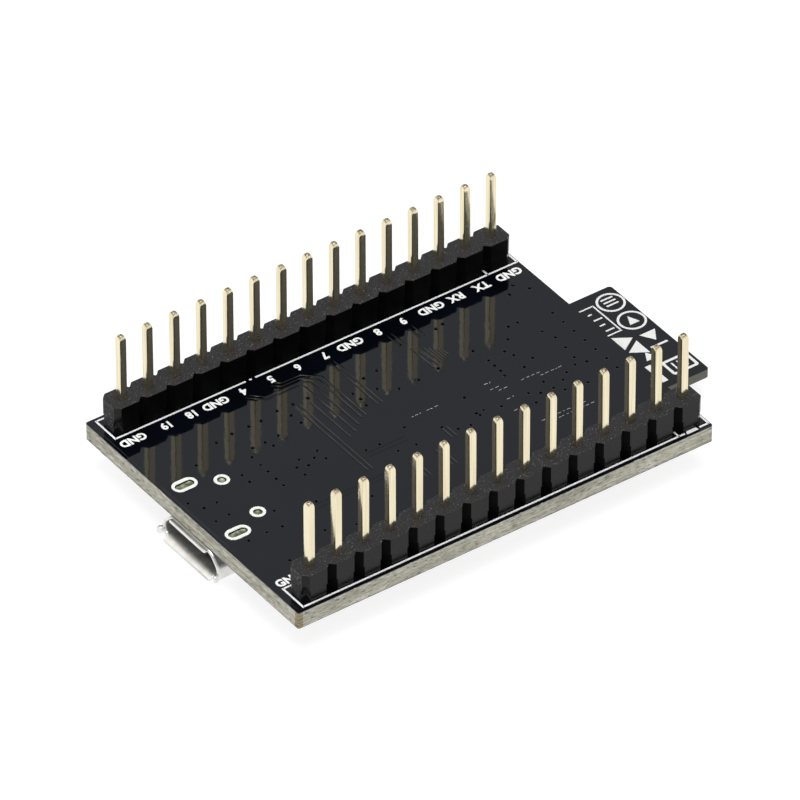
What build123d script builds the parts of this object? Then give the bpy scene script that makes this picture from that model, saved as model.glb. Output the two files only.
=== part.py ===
from build123d import *
import os

# A microcontroller dev board on two 15-way pin headers, pins up.
# Millimetres. +X runs from the USB end to the antenna end, +Y across the board, +Z along the pins.
# The origin is the centre of the pin field, on the board's pin side. Components hang below the board.

os.makedirs("parts", exist_ok=True)

# Pin headers
PITCH = 2.54
PINS_PER_ROW = 15
ROW_SPACING = 25.4
PIN_SIZE = 0.64
PIN_TOP = 8.72
PIN_TIP_LENGTH = 0.42
PIN_TAIL = 3.0
PIN_TAPER = 23.0
HOUSING_HEIGHT = 2.54
HOUSING_WIDTH = 2.38
HOUSING_NOTCH = 0.44
HOUSING_FOOT_HEIGHT = 1.05
HOUSING_FOOT_NOTCH = 0.54

# Main board
BOARD_X = (-20.1, 19.55)
BOARD_WIDTH = 28.9
BOARD_T = 1.6
BOARD_CORNER = 0.2
PIN_HOLE_R = 0.5
UNDER = -BOARD_T

# Header solder joints
FILLET_R = 0.86
FILLET_NECK_R = 0.47
FILLET_HEIGHT = 0.85
FILL_TOP = -0.1

# Micro-USB receptacle
USB_Y = -0.07
USB_X = (-20.2, -15.2)
USB_HEIGHT = 2.35
USB_HALF_WIDTH = 3.8
USB_NARROW_HALF = 2.75
USB_SHOULDER = 1.05
USB_WALL = 0.28
USB_LIP_REACH = 0.5
USB_TONGUE_HALF = 1.95
USB_TONGUE_SETBACK = 1.1
USB_CONTACTS = 5
USB_CONTACT_PITCH = 0.65
LEG_X = -18.2
LEG_LENGTH = 1.0
SLOT_HALF_SPAN = 3.62
SLOT_SIZE = (1.69, 0.7)
PEG_X = -15.5
PEG_HALF_SPAN = 2.44
PEG_HOLE_R = 0.37
USB_SOLDER_TOP = -0.15

# Radio module
MODULE_X = (8.27, 24.87)
MODULE_Y = -0.33
MODULE_WIDTH = 13.2
MODULE_T = 0.8
MODULE_GAP = 0.05
SHIELD_X = (8.6, 19.3)
SHIELD_WIDTH = 12.1
SHIELD_HEIGHT = 1.6
SHIELD_WALL = 0.15
MODULE_TOP = UNDER - MODULE_GAP
MODULE_FACE = MODULE_TOP - MODULE_T
HALF_HOLE_R = 0.26
SIDE_PADS = 12
SIDE_PAD_START_X = 9.3
SIDE_PAD_PITCH = 0.85
END_PADS = 11
END_PAD_PITCH = 1.05
MODULE_CHIP_AT = (13.2, -0.33)
MODULE_CRYSTAL_AT = (17.3, 2.8)
MODULE_PASSIVE_X = (16.6, 17.6, 18.5)
MODULE_PASSIVE_Y = (-4.93, -3.53, -2.13)

# Tactile switches, one each side of the USB receptacle
SWITCH_X = -15.9
SWITCH_Y = 8.0
SWITCH_BASE = (3.4, 4.4, 1.3)
SWITCH_CAVITY_R = 1.35
SWITCH_FLOOR = 0.35
SWITCH_COVER_T = 0.15
BUTTON_R = 0.85
BUTTON_FLANGE_R = 1.15
BUTTON_COVER_GAP = 0.1
BUTTON_PROUD = 0.5
DOME_RISE = 0.35
DOME_T = 0.08

# Places of the parts under the board: (x, y) or (x, y, turn about Z in degrees)
BRIDGE_AT = (-6.4, 0.0)
REGULATOR_AT = (-8.2, 7.6, 90)
DIODE_AT = (-12.4, 4.4, 90)
TRANSISTORS_AT = [(-10.9, y, 0) for y in (-5.2, -9.0)]
COLOUR_LED_AT = (2.6, -7.2)
POWER_LED_AT = (3.2, 9.2, 0)
CAPACITORS_AT = (
    [(-3.0, y, 90) for y in (5.2, 7.3, 9.4)]
    + [(x, -4.6, 0) for x in (-7.6, -5.0)]
    + [(5.6, y, 90) for y in (-2.6, 0.0, 2.6)]
)
RESISTORS_AT = (
    [(0.4, y, 0) for y in (9.2, 7.4, 5.6)]
    + [(x, 3.1, 90) for x in (-8.8, -6.4, -4.4)]
    + [(x, -9.6, 90) for x in (-8.2, -6.4, -4.6)]
    + [(1.4, y, 0) for y in (1.2, -1.2)]
)

# Chip parts: length, width, height, length of each end cap
CAPACITOR_SIZE = (1.6, 0.8, 0.8, 0.3)
RESISTOR_SIZE = (1.6, 0.8, 0.45, 0.3)


def block(x, y, z):
    """A box between two corners, each argument a (low, high) pair."""
    size = [high - low for low, high in (x, y, z)]
    centre = [(low + high) / 2 for low, high in (x, y, z)]
    return Pos(*centre) * Box(*size)


def around(centre, size):
    """The (low, high) pair of a length centred on a place."""
    return (centre - size / 2, centre + size / 2)


def hang(depth, thickness):
    """The (low, high) heights of something that starts at a depth below the board's underside."""
    return (UNDER - depth - thickness, UNDER - depth)


def rod(x, y, radius, z):
    """An upright cylinder."""
    return Pos(x, y, sum(z) / 2) * Cylinder(radius, z[1] - z[0])


def prism(points, plane, length):
    """A closed outline on a plane, extruded to both sides of it by half a length."""
    outline = [plane.from_local_coords((u, v, 0)) for u, v in points]
    return extrude(make_face(Polyline(*outline, close=True)), length / 2, both=True)


def rounded_slab(x, y, corner, z):
    """A flat slab with rounded upright corners."""
    outline = RectangleRounded(x[1] - x[0], y[1] - y[0], corner)
    return Pos(sum(x) / 2, sum(y) / 2, z[0]) * extrude(outline, z[1] - z[0])


def save(node, *shapes):
    """Write one node: every solid of the shapes given."""
    solids = [solid for shape in shapes for solid in shape.solids()]
    whole = solids[0] if len(solids) == 1 else Compound(children=solids)
    export_step(whole, f"parts/{node}.step")


# ---- pin headers ----

def pin_places(side):
    """The (x, y) of each pin in one row: side is -1 for the near row, 1 for the far row."""
    middle = (PINS_PER_ROW - 1) / 2
    return [((i - middle) * PITCH, side * ROW_SPACING / 2) for i in range(PINS_PER_ROW)]


def pin():
    """One square pin with a tapered tip at each end, on the Z axis."""
    square = Rectangle(PIN_SIZE, PIN_SIZE)
    low = -PIN_TAIL + PIN_TIP_LENGTH
    high = PIN_TOP - PIN_TIP_LENGTH
    shank = Pos(0, 0, low) * extrude(square, high - low)
    tip = Pos(0, 0, high) * extrude(square, PIN_TIP_LENGTH, taper=PIN_TAPER)
    tail = Pos(0, 0, low) * Rot(180, 0, 0) * extrude(square, PIN_TIP_LENGTH, taper=PIN_TAPER)
    return shank + tip + tail


def notched_strip(notch, z):
    """A row of octagonal segments joined side by side."""
    half = HOUSING_WIDTH / 2
    start = -PINS_PER_ROW * PITCH / 2
    near, far = [], []
    for i in range(PINS_PER_ROW):
        left, right = start + i * PITCH, start + (i + 1) * PITCH
        near += [(left, notch - half), (left + notch, -half), (right - notch, -half)]
        far += [(left, half - notch), (left + notch, half), (right - notch, half)]
    near.append((-start, notch - half))
    far.append((-start, half - notch))
    outline = make_face(Polyline(*near, *reversed(far), close=True))
    return Pos(0, 0, z[0]) * extrude(outline, z[1] - z[0])


def housing(side):
    """The plastic body of one header, with a square hole for each pin."""
    body = notched_strip(HOUSING_FOOT_NOTCH, (0, HOUSING_FOOT_HEIGHT))
    body += notched_strip(HOUSING_NOTCH, (HOUSING_FOOT_HEIGHT, HOUSING_HEIGHT))
    body = Pos(0, side * ROW_SPACING / 2, 0) * body
    holes = [
        block(around(x, PIN_SIZE), around(y, PIN_SIZE), (0, HOUSING_HEIGHT))
        for x, y in pin_places(side)
    ]
    return body - holes


def solder_joint():
    """The solder round one pin: a plug in the plated hole and a concave fillet under the board."""
    foot = (FILLET_R, UNDER)
    neck = (FILLET_NECK_R, UNDER - FILLET_HEIGHT)
    waist = (0.88 * FILLET_NECK_R + 0.12 * FILLET_R, UNDER - 0.35 * FILLET_HEIGHT)
    profile = [
        Polyline((0, neck[1]), (0, FILL_TOP), (PIN_HOLE_R, FILL_TOP), (PIN_HOLE_R, UNDER), foot),
        ThreePointArc(foot, waist, neck),
        Line(neck, (0, neck[1])),
    ]
    turned = revolve(Plane.XZ * make_face(Curve() + profile), Axis.Z)
    pin_room = (neck[1], FILL_TOP)
    return turned - block(around(0, PIN_SIZE), around(0, PIN_SIZE), pin_room)


# ---- main board ----

def main_board():
    """The laminate with its pin holes, shell slots and peg holes."""
    width = around(0, BOARD_WIDTH)
    z = (UNDER, 0)
    board = rounded_slab(BOARD_X, width, BOARD_CORNER, z)
    holes = [rod(x, y, PIN_HOLE_R, z) for side in (-1, 1) for x, y in pin_places(side)]
    for side in (-1, 1):
        slot = extrude(SlotOverall(*SLOT_SIZE), BOARD_T)
        holes.append(Pos(LEG_X, USB_Y + side * SLOT_HALF_SPAN, UNDER) * slot)
        holes.append(rod(PEG_X, USB_Y + side * PEG_HALF_SPAN, PEG_HOLE_R, z))
    return board - holes


# ---- micro-USB receptacle ----

def usb_outline(inset=0.0):
    """The receptacle's cross-section, looking along +X: narrow side against the board."""
    corners = [
        (-USB_NARROW_HALF, 0),
        (USB_NARROW_HALF, 0),
        (USB_HALF_WIDTH, -USB_SHOULDER),
        (USB_HALF_WIDTH, -USB_HEIGHT),
        (-USB_HALF_WIDTH, -USB_HEIGHT),
        (-USB_HALF_WIDTH, -USB_SHOULDER),
    ]
    outline = make_face(Polyline(*corners, close=True))
    outline = fillet(outline.vertices(), 0.45)
    return offset(outline, -inset) if inset else outline


def usb_section(inset, x):
    """The cross-section shrunk by an inset and run along X."""
    frame = Plane(origin=(x[0], USB_Y, UNDER), x_dir=(0, 1, 0), z_dir=(1, 0, 0))
    return extrude(frame * usb_outline(inset), x[1] - x[0])


def usb_lips():
    """The flared edges round the mouth: one on each long side and one low on each end."""
    mouth = USB_X[0] + 0.02
    front = USB_X[0] - USB_LIP_REACH
    low = UNDER - USB_HEIGHT
    wide = [(mouth, low), (mouth, low + USB_WALL), (front + 0.07, low + 0.09), (front, low - 0.17)]
    wide_plane = Plane(origin=(0, USB_Y, 0), x_dir=(1, 0, 0), z_dir=(0, -1, 0))
    lips = [prism(wide, wide_plane, 6.3)]
    top = UNDER
    narrow = [(mouth, top), (mouth, top - USB_WALL), (front + 0.1, top - 0.33), (front + 0.1, top - 0.08)]
    lips.append(prism(narrow, wide_plane, 4.8))
    end_plane = Plane(origin=(0, 0, low + 0.45), x_dir=(1, 0, 0), z_dir=(0, 0, 1))
    for side in (-1, 1):
        outer, inner = USB_Y + side * USB_HALF_WIDTH, USB_Y + side * (USB_HALF_WIDTH - USB_WALL)
        tip = outer + side * 0.25
        flare = [(mouth, outer), (mouth, inner), (front, tip - side * USB_WALL), (front, tip)]
        lips.append(prism(flare, end_plane, 0.6))
    return lips


def usb_shell():
    """The folded steel shell with its lips, legs and pegs."""
    shell = usb_section(0, USB_X) - usb_section(USB_WALL, USB_X)
    for lip in usb_lips():
        shell += lip
    for side in (-1, 1):
        wall = sorted(USB_Y + side * (USB_HALF_WIDTH - t) for t in (0, USB_WALL))
        leg_z = (UNDER - USB_SHOULDER - 0.4, -0.25)
        shell += block(around(LEG_X, LEG_LENGTH), wall, leg_z)
        peg_y = around(USB_Y + side * PEG_HALF_SPAN, 0.3)
        shell += block(around(PEG_X, 0.44), peg_y, (UNDER - USB_WALL, -0.3))
    return shell


def usb_contact(i):
    """One contact: a strip on the tongue, a riser behind the shell and a foot on the board."""
    v = around(USB_Y + (i - (USB_CONTACTS - 1) / 2) * USB_CONTACT_PITCH, 0.3)
    back = USB_X[1] + 0.1
    strip = block((USB_X[0] + USB_TONGUE_SETBACK + 0.3, back + 0.1), v, hang(0.85, 0.1))
    riser = block((back, back + 0.1), v, hang(0, 0.95))
    foot = block((back, back + 0.9), v, hang(0, 0.1))
    return strip + riser + foot


def usb_insulator(contacts):
    """The moulded block in the back of the shell, with the tongue that carries the contacts."""
    back = USB_X[1] - 0.1
    body = usb_section(USB_WALL + 0.02, (back - 2.1, back))
    tongue = (USB_X[0] + USB_TONGUE_SETBACK, back - 2.0)
    body += block(tongue, around(USB_Y, 2 * USB_TONGUE_HALF), hang(0.95, 0.6))
    return body - contacts


def usb_solder():
    """The solder that fills the slots and peg holes round the legs and pegs."""
    z = (UNDER, USB_SOLDER_TOP)
    plugs = []
    for side in (-1, 1):
        slot = extrude(SlotOverall(*SLOT_SIZE), z[1] - z[0])
        plugs.append(Pos(LEG_X, USB_Y + side * SLOT_HALF_SPAN, z[0]) * slot)
        plugs.append(rod(PEG_X, USB_Y + side * PEG_HALF_SPAN, PEG_HOLE_R, z))
    return plugs


# ---- radio module ----

def module_edge_places():
    """The (x, y) of each castellation: along both long sides and the inner end."""
    sides = [MODULE_Y - MODULE_WIDTH / 2, MODULE_Y + MODULE_WIDTH / 2]
    places = [(SIDE_PAD_START_X + i * SIDE_PAD_PITCH, y) for y in sides for i in range(SIDE_PADS)]
    start = MODULE_Y - (END_PADS - 1) / 2 * END_PAD_PITCH
    return places + [(MODULE_X[0], start + i * END_PAD_PITCH) for i in range(END_PADS)]


def module_slab():
    return rounded_slab(MODULE_X, around(MODULE_Y, MODULE_WIDTH), 0.35, (MODULE_FACE, MODULE_TOP))


def castellation_rods():
    return [rod(x, y, HALF_HOLE_R, (MODULE_FACE, MODULE_TOP)) for x, y in module_edge_places()]


def module_pads():
    """The plated half holes round the module's edge, filled flush."""
    slab = module_slab()
    return [upright & slab for upright in castellation_rods()]


def module_solder():
    """A wedge of solder from each plated half hole to the main board."""
    reach, rise, width = 0.4, 0.5, 0.44
    wedge = prism([(0, UNDER), (reach, UNDER), (0, UNDER - rise)], Plane.XZ, width)
    joints = []
    for x, y in module_edge_places():
        if x == MODULE_X[0]:
            joints.append(Pos(x, y, 0) * Rot(0, 0, 180) * wedge)
        else:
            joints.append(Pos(x, y, 0) * Rot(0, 0, 90 if y > MODULE_Y else -90) * wedge)
    return joints


def module_shield():
    """The drawn metal can over the module's circuit, open towards the module board."""
    y = around(MODULE_Y, SHIELD_WIDTH)
    z = (MODULE_FACE - SHIELD_HEIGHT, MODULE_FACE)
    can = rounded_slab(SHIELD_X, y, 0.8, z)
    can = fillet(can.faces().sort_by(Axis.Z)[0].edges(), 0.22)
    inner_x = (SHIELD_X[0] + SHIELD_WALL, SHIELD_X[1] - SHIELD_WALL)
    inner_y = around(MODULE_Y, SHIELD_WIDTH - 2 * SHIELD_WALL)
    return can - rounded_slab(inner_x, inner_y, 0.65, (z[0] + SHIELD_WALL, z[1]))


def on_module(x, y, length, width, height):
    """A small part on the module's circuit side."""
    return block(around(x, length), around(y, width), (MODULE_FACE - height, MODULE_FACE))


def module_antenna():
    """The printed meander at the module's outer end."""
    copper, width = 0.05, 0.45
    bars, y_low, step = 7, MODULE_Y - 5.2, 1.6
    x_in, x_out = 20.5, 24.3
    trace = on_module((19.7 + x_in) / 2, y_low, x_in - 19.7 + width, width, copper)
    for i in range(bars):
        y = y_low + i * step
        trace += on_module((x_in + x_out) / 2, y, x_out - x_in + width, width, copper)
        if i < bars - 1:
            x = x_out if i % 2 == 0 else x_in
            trace += on_module(x, y + step / 2, width, step + width, copper)
    return trace


# ---- surface-mount parts ----

def lead(height, thickness, reach, width):
    """A gull-wing lead that leaves a package at x = 0 and runs out along +X to a foot."""
    bend = 0.3 * reach
    points = [
        (0, UNDER - height),
        (bend + thickness, UNDER - height),
        (bend + thickness, UNDER - thickness),
        (reach, UNDER - thickness),
        (reach, UNDER),
        (bend, UNDER),
        (bend, UNDER - height + thickness),
        (0, UNDER - height + thickness),
    ]
    return prism(points, Plane.XZ, width)


def package(length, width, height, lift=0.05, edge=0.08):
    """A moulded package, centred on the Z axis and hanging below the board."""
    body = block(around(0, length), around(0, width), hang(lift, height))
    return chamfer(body.faces().sort_by(Axis.Z)[0].edges(), edge)


def two_terminal(length, width, height, cap, inset=0.02):
    """A chip part: its body, and the plated cap at each end."""
    middle = around(0, length - 2 * cap)
    body = block(middle, around(0, width - 2 * inset), hang(inset, height - 2 * inset))
    caps = [
        block(sorted((side * (length / 2 - cap), side * length / 2)), around(0, width), hang(0, height))
        for side in (-1, 1)
    ]
    return body, caps


def place(x, y, turn, shapes):
    """Move shapes from the Z axis to a place on the board, turned about Z."""
    return [Pos(x, y, 0) * Rot(0, 0, turn) * shape for shape in shapes]


def chip_parts(kind_size, places):
    """The bodies and end caps of equal chip parts at (x, y, turn) places."""
    bodies, caps = [], []
    for x, y, turn in places:
        body, ends = two_terminal(*kind_size)
        bodies += place(x, y, turn, [body])
        caps += place(x, y, turn, ends)
    return bodies, caps


def bridge_chip(x, y):
    """A square flat package and its row of pads on each side."""
    side, pads_per_side, pitch = 4.0, 6, 0.5
    body = package(side, side, 0.8)
    pad = block(around(side / 2 - 0.1, 0.5), around(0, 0.26), hang(0, 0.05))
    pads = [
        Rot(0, 0, 90 * quarter) * Pos(0, (i - (pads_per_side - 1) / 2) * pitch, 0) * pad
        for quarter in range(4)
        for i in range(pads_per_side)
    ]
    pads.append(block(around(0, 2.2), around(0, 2.2), hang(0, 0.05)))
    return place(x, y, 0, [body]), place(x, y, 0, pads)


def regulator(x, y, turn):
    """A voltage regulator: moulded body, a wide tab on one side and three leads on the other."""
    width, depth = 6.5, 3.5
    body = package(depth, width, 1.6, edge=0.25)
    edge = Pos(depth / 2, 0, 0)
    tab = edge * lead(0.85, 0.26, 1.7, 3.0)
    legs = [Rot(0, 0, 180) * edge * Pos(0, i * 2.3, 0) * lead(0.85, 0.26, 1.7, 0.7) for i in (-1, 0, 1)]
    return place(x, y, turn, [body]), place(x, y, turn, [tab, *legs])


def transistor(x, y, turn):
    """A three-lead transistor: one lead on one side and two on the other."""
    width, depth = 2.9, 1.3
    body = package(depth, width, 0.95, edge=0.12)
    edge = Pos(depth / 2, 0, 0)
    leg = lead(0.5, 0.12, 0.55, 0.4)
    legs = [edge * leg] + [Rot(0, 0, 180) * edge * Pos(0, i * 0.95, 0) * leg for i in (-1, 1)]
    return place(x, y, turn, [body]), place(x, y, turn, legs)


def diode(x, y, turn):
    """A two-lead power diode."""
    length, width = 2.7, 1.6
    body = package(length, width, 1.1, edge=0.15)
    leg = Pos(length / 2, 0, 0) * lead(0.6, 0.15, 0.5, 0.9)
    return place(x, y, turn, [body]), place(x, y, turn, [leg, Rot(0, 0, 180) * leg])


def colour_led(x, y):
    """A square colour LED: white cup, clear lens, four dies under the lens and four terminals."""
    side, height, cup_r, cup_depth = 5.0, 1.5, 1.9, 1.0
    cup = (UNDER - 0.05 - height, UNDER - 0.05 - height + cup_depth)
    lens = rod(0, 0, cup_r, cup)
    body = package(side, side, height) - lens
    die_z = (cup[1] - 0.15, cup[1])
    dies = [block(around(u, 0.3), around(0.5, 0.3), die_z) for u in (-0.6, 0, 0.6)]
    dies.append(block(around(0, 0.9), around(-0.6, 0.7), die_z))
    edge = Pos(side / 2, 0, 0)
    leg = lead(0.7, 0.2, 0.3, 0.9)
    legs = [Rot(0, 0, turn) * edge * Pos(0, v, 0) * leg for turn in (0, 180) for v in (-1.6, 1.6)]
    return [place(x, y, 0, group) for group in ([body], [lens - dies], dies, legs)]


def power_led(x, y, turn):
    """A small LED: a pale base with plated ends and a lens on it."""
    base, caps = two_terminal(1.6, 0.8, 0.3, 0.3, inset=0.0)
    lens = block(around(0, 1.0), around(0, 0.76), hang(0.3, 0.35))
    lens = chamfer(lens.faces().sort_by(Axis.Z)[0].edges(), 0.1)
    return [place(x, y, turn, group) for group in ([base], [lens], caps)]


# ---- tactile switches ----

def switch_base():
    """The switch's moulded base, with the round cavity that holds the dome and the button's flange."""
    length, width, height = SWITCH_BASE
    body = block(around(0, length), around(0, width), hang(0, height))
    return body - rod(0, 0, SWITCH_CAVITY_R, hang(SWITCH_FLOOR, height - SWITCH_FLOOR))


def switch_cover():
    """The bent metal cover: a plate with a round hole and a cheek down each short side."""
    length, width, height = SWITCH_BASE
    plate = block(around(0, length), around(0, width + 2 * SWITCH_COVER_T), hang(height, SWITCH_COVER_T))
    plate -= rod(0, 0, BUTTON_R + BUTTON_COVER_GAP, hang(height, SWITCH_COVER_T))
    for side in (-1, 1):
        cheek = sorted((side * width / 2, side * (width / 2 + SWITCH_COVER_T)))
        plate += block(around(0, 0.6 * length), cheek, hang(0.3, height - 0.3))
    return plate


def switch_button():
    """The button: a round stem through the cover, and a flange that the cover keeps in."""
    height = SWITCH_BASE[2]
    foot = SWITCH_FLOOR + DOME_RISE
    flange_room = (UNDER - height + 0.05, UNDER - foot - 0.05)
    stem_top = height + SWITCH_COVER_T + BUTTON_PROUD
    stem = rod(0, 0, BUTTON_R, hang(foot, stem_top - foot))
    stem = chamfer(stem.faces().sort_by(Axis.Z)[0].edges(), 0.1)
    return stem + rod(0, 0, BUTTON_FLANGE_R, flange_room)


def switch_dome():
    """The thin metal snap dome, its rim on the cavity's floor and its crown under the button."""
    rim_r = SWITCH_CAVITY_R - 0.1
    curve_r = (rim_r**2 + DOME_RISE**2) / (2 * DOME_RISE)
    rim_z = UNDER - SWITCH_FLOOR
    centre = Pos(0, 0, rim_z - DOME_RISE + curve_r)
    skin = centre * Sphere(curve_r) - centre * Sphere(curve_r - DOME_T)
    room = rod(0, 0, rim_r, (rim_z - DOME_RISE, rim_z))
    return skin & room


def switch_terminals():
    """Four flat leads, two out of each long side of the base."""
    length, width, _ = SWITCH_BASE
    leg = Pos(length / 2, 0, 0) * lead(0.3, 0.15, 0.7, 0.6)
    return [Rot(0, 0, turn) * Pos(0, v, 0) * leg for turn in (0, 180) for v in (-1.5, 1.5)]


# ---- write every node ----

for name, side in (("near", -1), ("far", 1)):
    places = pin_places(side)
    save(f"header_housing_{name}", housing(side))
    save(f"header_pins_{name}", *[Pos(x, y, 0) * pin() for x, y in places])
    save(f"header_solder_{name}", *[Pos(x, y, 0) * solder_joint() for x, y in places])

save("pcb", main_board())

shell = usb_shell()
contacts = [usb_contact(i) for i in range(USB_CONTACTS)]
save("usb_shell", shell)
save("usb_contacts", *contacts)
save("usb_insulator", usb_insulator(contacts))
save("usb_solder", *[plug - shell for plug in usb_solder()])

save("module_board", module_slab() - castellation_rods())
save("module_pads", *module_pads())
save("module_solder", *module_solder())
save("module_shield", module_shield())
save("module_chip", on_module(*MODULE_CHIP_AT, 5.0, 5.0, 0.85))
save("module_crystal", on_module(*MODULE_CRYSTAL_AT, 2.0, 1.6, 0.5))
passives = [on_module(x, y, 0.3, 0.6, 0.3) for x in MODULE_PASSIVE_X for y in MODULE_PASSIVE_Y]
save("module_passives", *passives)
save("module_antenna", module_antenna())

bridge_body, bridge_pads = bridge_chip(*BRIDGE_AT)
save("bridge_chip", *bridge_body)
save("bridge_pads", *bridge_pads)

regulator_body, regulator_leads = regulator(*REGULATOR_AT)
save("regulator_body", *regulator_body)
save("regulator_leads", *regulator_leads)

diode_body, diode_leads = diode(*DIODE_AT)
save("diode_body", *diode_body)
save("diode_leads", *diode_leads)

pair = [transistor(*at) for at in TRANSISTORS_AT]
save("transistor_bodies", *[body for bodies, _ in pair for body in bodies])
save("transistor_leads", *[leg for _, legs in pair for leg in legs])

led_body, led_lens, led_dies, led_terminals = colour_led(*COLOUR_LED_AT)
save("colour_led_body", *led_body)
save("colour_led_lens", *led_lens)
save("colour_led_dies", *led_dies)
save("colour_led_terminals", *led_terminals)

small_base, small_lens, small_caps = power_led(*POWER_LED_AT)
save("power_led_base", *small_base)
save("power_led_lens", *small_lens)
save("power_led_terminals", *small_caps)

bodies, caps = chip_parts(CAPACITOR_SIZE, CAPACITORS_AT)
save("capacitor_bodies", *bodies)
save("capacitor_caps", *caps)

bodies, caps = chip_parts(RESISTOR_SIZE, RESISTORS_AT)
save("resistor_bodies", *bodies)
save("resistor_caps", *caps)

for name, side in (("boot", -1), ("reset", 1)):
    for piece, shapes in (
        ("base", [switch_base()]),
        ("cover", [switch_cover()]),
        ("button", [switch_button()]),
        ("dome", [switch_dome()]),
        ("terminals", switch_terminals()),
    ):
        save(f"{name}_{piece}", *place(SWITCH_X, side * SWITCH_Y, 0, shapes))
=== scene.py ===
import math
import random

import bmesh
import bpy
from mathutils import Matrix, Quaternion, Vector


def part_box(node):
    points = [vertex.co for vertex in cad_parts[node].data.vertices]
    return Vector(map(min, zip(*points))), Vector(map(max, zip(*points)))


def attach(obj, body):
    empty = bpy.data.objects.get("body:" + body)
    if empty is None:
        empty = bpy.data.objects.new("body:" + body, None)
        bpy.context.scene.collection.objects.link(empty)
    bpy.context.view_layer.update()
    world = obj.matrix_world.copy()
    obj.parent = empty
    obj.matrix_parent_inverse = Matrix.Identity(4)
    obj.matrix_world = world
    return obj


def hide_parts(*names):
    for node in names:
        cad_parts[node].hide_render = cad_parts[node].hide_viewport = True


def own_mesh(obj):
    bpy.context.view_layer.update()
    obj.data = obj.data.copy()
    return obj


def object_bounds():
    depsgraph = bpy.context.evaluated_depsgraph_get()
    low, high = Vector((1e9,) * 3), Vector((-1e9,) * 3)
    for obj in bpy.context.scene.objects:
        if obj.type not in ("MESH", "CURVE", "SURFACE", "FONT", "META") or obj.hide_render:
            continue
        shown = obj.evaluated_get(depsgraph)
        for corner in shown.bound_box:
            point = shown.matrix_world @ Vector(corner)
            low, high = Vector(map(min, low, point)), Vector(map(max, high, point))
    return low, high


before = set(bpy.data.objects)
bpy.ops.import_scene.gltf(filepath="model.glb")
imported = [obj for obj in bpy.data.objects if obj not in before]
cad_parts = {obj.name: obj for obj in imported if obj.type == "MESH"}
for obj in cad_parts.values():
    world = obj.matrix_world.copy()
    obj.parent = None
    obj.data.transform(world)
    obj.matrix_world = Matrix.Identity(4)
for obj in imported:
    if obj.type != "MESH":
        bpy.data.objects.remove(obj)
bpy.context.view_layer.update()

# The looks of a microcontroller dev board that lies on its component side, pins up.
# Meshes are made in millimetres, in the CAD frame, and scaled to metres when they become a piece.
MM = 0.001
RANDOM = random.Random(7)
MATERIALS = {}  # by short name, filled at the start of main()

# Camera
EYE = (-391.505, -548.946, 535.616)
AIM = (0.51, 0.97, 1.38)
ROLL = -0.1607
LENS = 496.1
SENSOR = 36.0
WARM = (1.0, 0.96, 0.88)

# Board
PITCH = 2.54
PIN_XS = [(i - 7) * PITCH for i in range(15)]
ROW_Y = 12.7
UNDER = -1.6
BOARD_CORNER = 0.2
COPPER = 0.03
POUR_INSET = 0.27
MASK_EDGE = 0.055
SILK = 0.022
SILK_LINE = 0.17
SILK_HALF = 1.34
LETTER_HEIGHT = 0.88
LETTER_SQUEEZE = 0.92
VIA_R = 0.135
VIA_SIDES = 12
GAP_HALF = 0.035
SHARP = 35.0
PIN_HALF = 0.32
PIN_EDGE = 0.045
PIN_LEAN = 0.0025
EDGE_STEP = 0.25
OUTLINE_LINE = 0.13

# Floor, a wide disc just below the lowest part
FLOOR_GAP = 0.02
FLOOR_DEPTH = 20
FLOOR_R = 2500

# USB shell
USB_FRONT = -20.2
USB_WALL = 0.28
USB_TOP = UNDER - 0.01
USB_SHOULDER = -2.65
USB_BOTTOM = -3.95
USB_NARROW = 2.75
USB_WIDE = 3.8
USB_BEND = 0.5


# ---------------------------------------------------------------- small mesh tools

def box(node):
    """The lowest and highest corner of a CAD node, in millimetres."""
    low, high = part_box(node)
    return low / MM, high / MM


def around_node(node, margin):
    """The (x0, x1, y0, y1) of a CAD node, widened by a margin."""
    low, high = box(node)
    return low.x - margin, high.x + margin, low.y - margin, high.y + margin


def cad_mesh(node, flat=1.0):
    """A welded copy of a CAD node's mesh in millimetres, with its flat faces whole again."""
    bm = bmesh.new()
    bm.from_mesh(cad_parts[node].data)
    bmesh.ops.scale(bm, vec=(1 / MM,) * 3, verts=bm.verts)
    bmesh.ops.remove_doubles(bm, verts=bm.verts, dist=0.002)
    bmesh.ops.dissolve_limit(bm, angle_limit=math.radians(flat), verts=bm.verts, edges=bm.edges)
    return bm


def mesh_object(name, bm, materials):
    """Turn a mesh in millimetres into an object in metres."""
    bmesh.ops.scale(bm, vec=(MM,) * 3, verts=bm.verts)
    bmesh.ops.recalc_face_normals(bm, faces=bm.faces)
    mesh = bpy.data.meshes.new(name)
    bm.to_mesh(mesh)
    bm.free()
    for material in materials:
        mesh.materials.append(material)
    obj = bpy.data.objects.new(name, mesh)
    bpy.context.scene.collection.objects.link(obj)
    return obj


def piece(name, bm, materials, replaces=(), bevel=0.0, segments=2, body="board", sharp=SHARP):
    """Turn a mesh in millimetres into a smooth shaded piece that rides on a body."""
    for face in bm.faces:
        face.smooth = True
    obj = mesh_object(name, bm, [MATERIALS[key] for key in materials])
    if bevel:
        round_off = obj.modifiers.new("round_off", "BEVEL")
        round_off.width = bevel * MM
        round_off.segments = segments
        round_off.limit_method = "ANGLE"
        round_off.angle_limit = math.radians(sharp)
        round_off.use_clamp_overlap = True
        flatten = obj.modifiers.new("flatten", "WEIGHTED_NORMAL")
        flatten.weight = 100
    else:
        obj.data.set_sharp_from_angle(angle=math.radians(sharp))
    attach(obj, body)
    if replaces:
        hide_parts(*replaces)
    return obj


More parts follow.
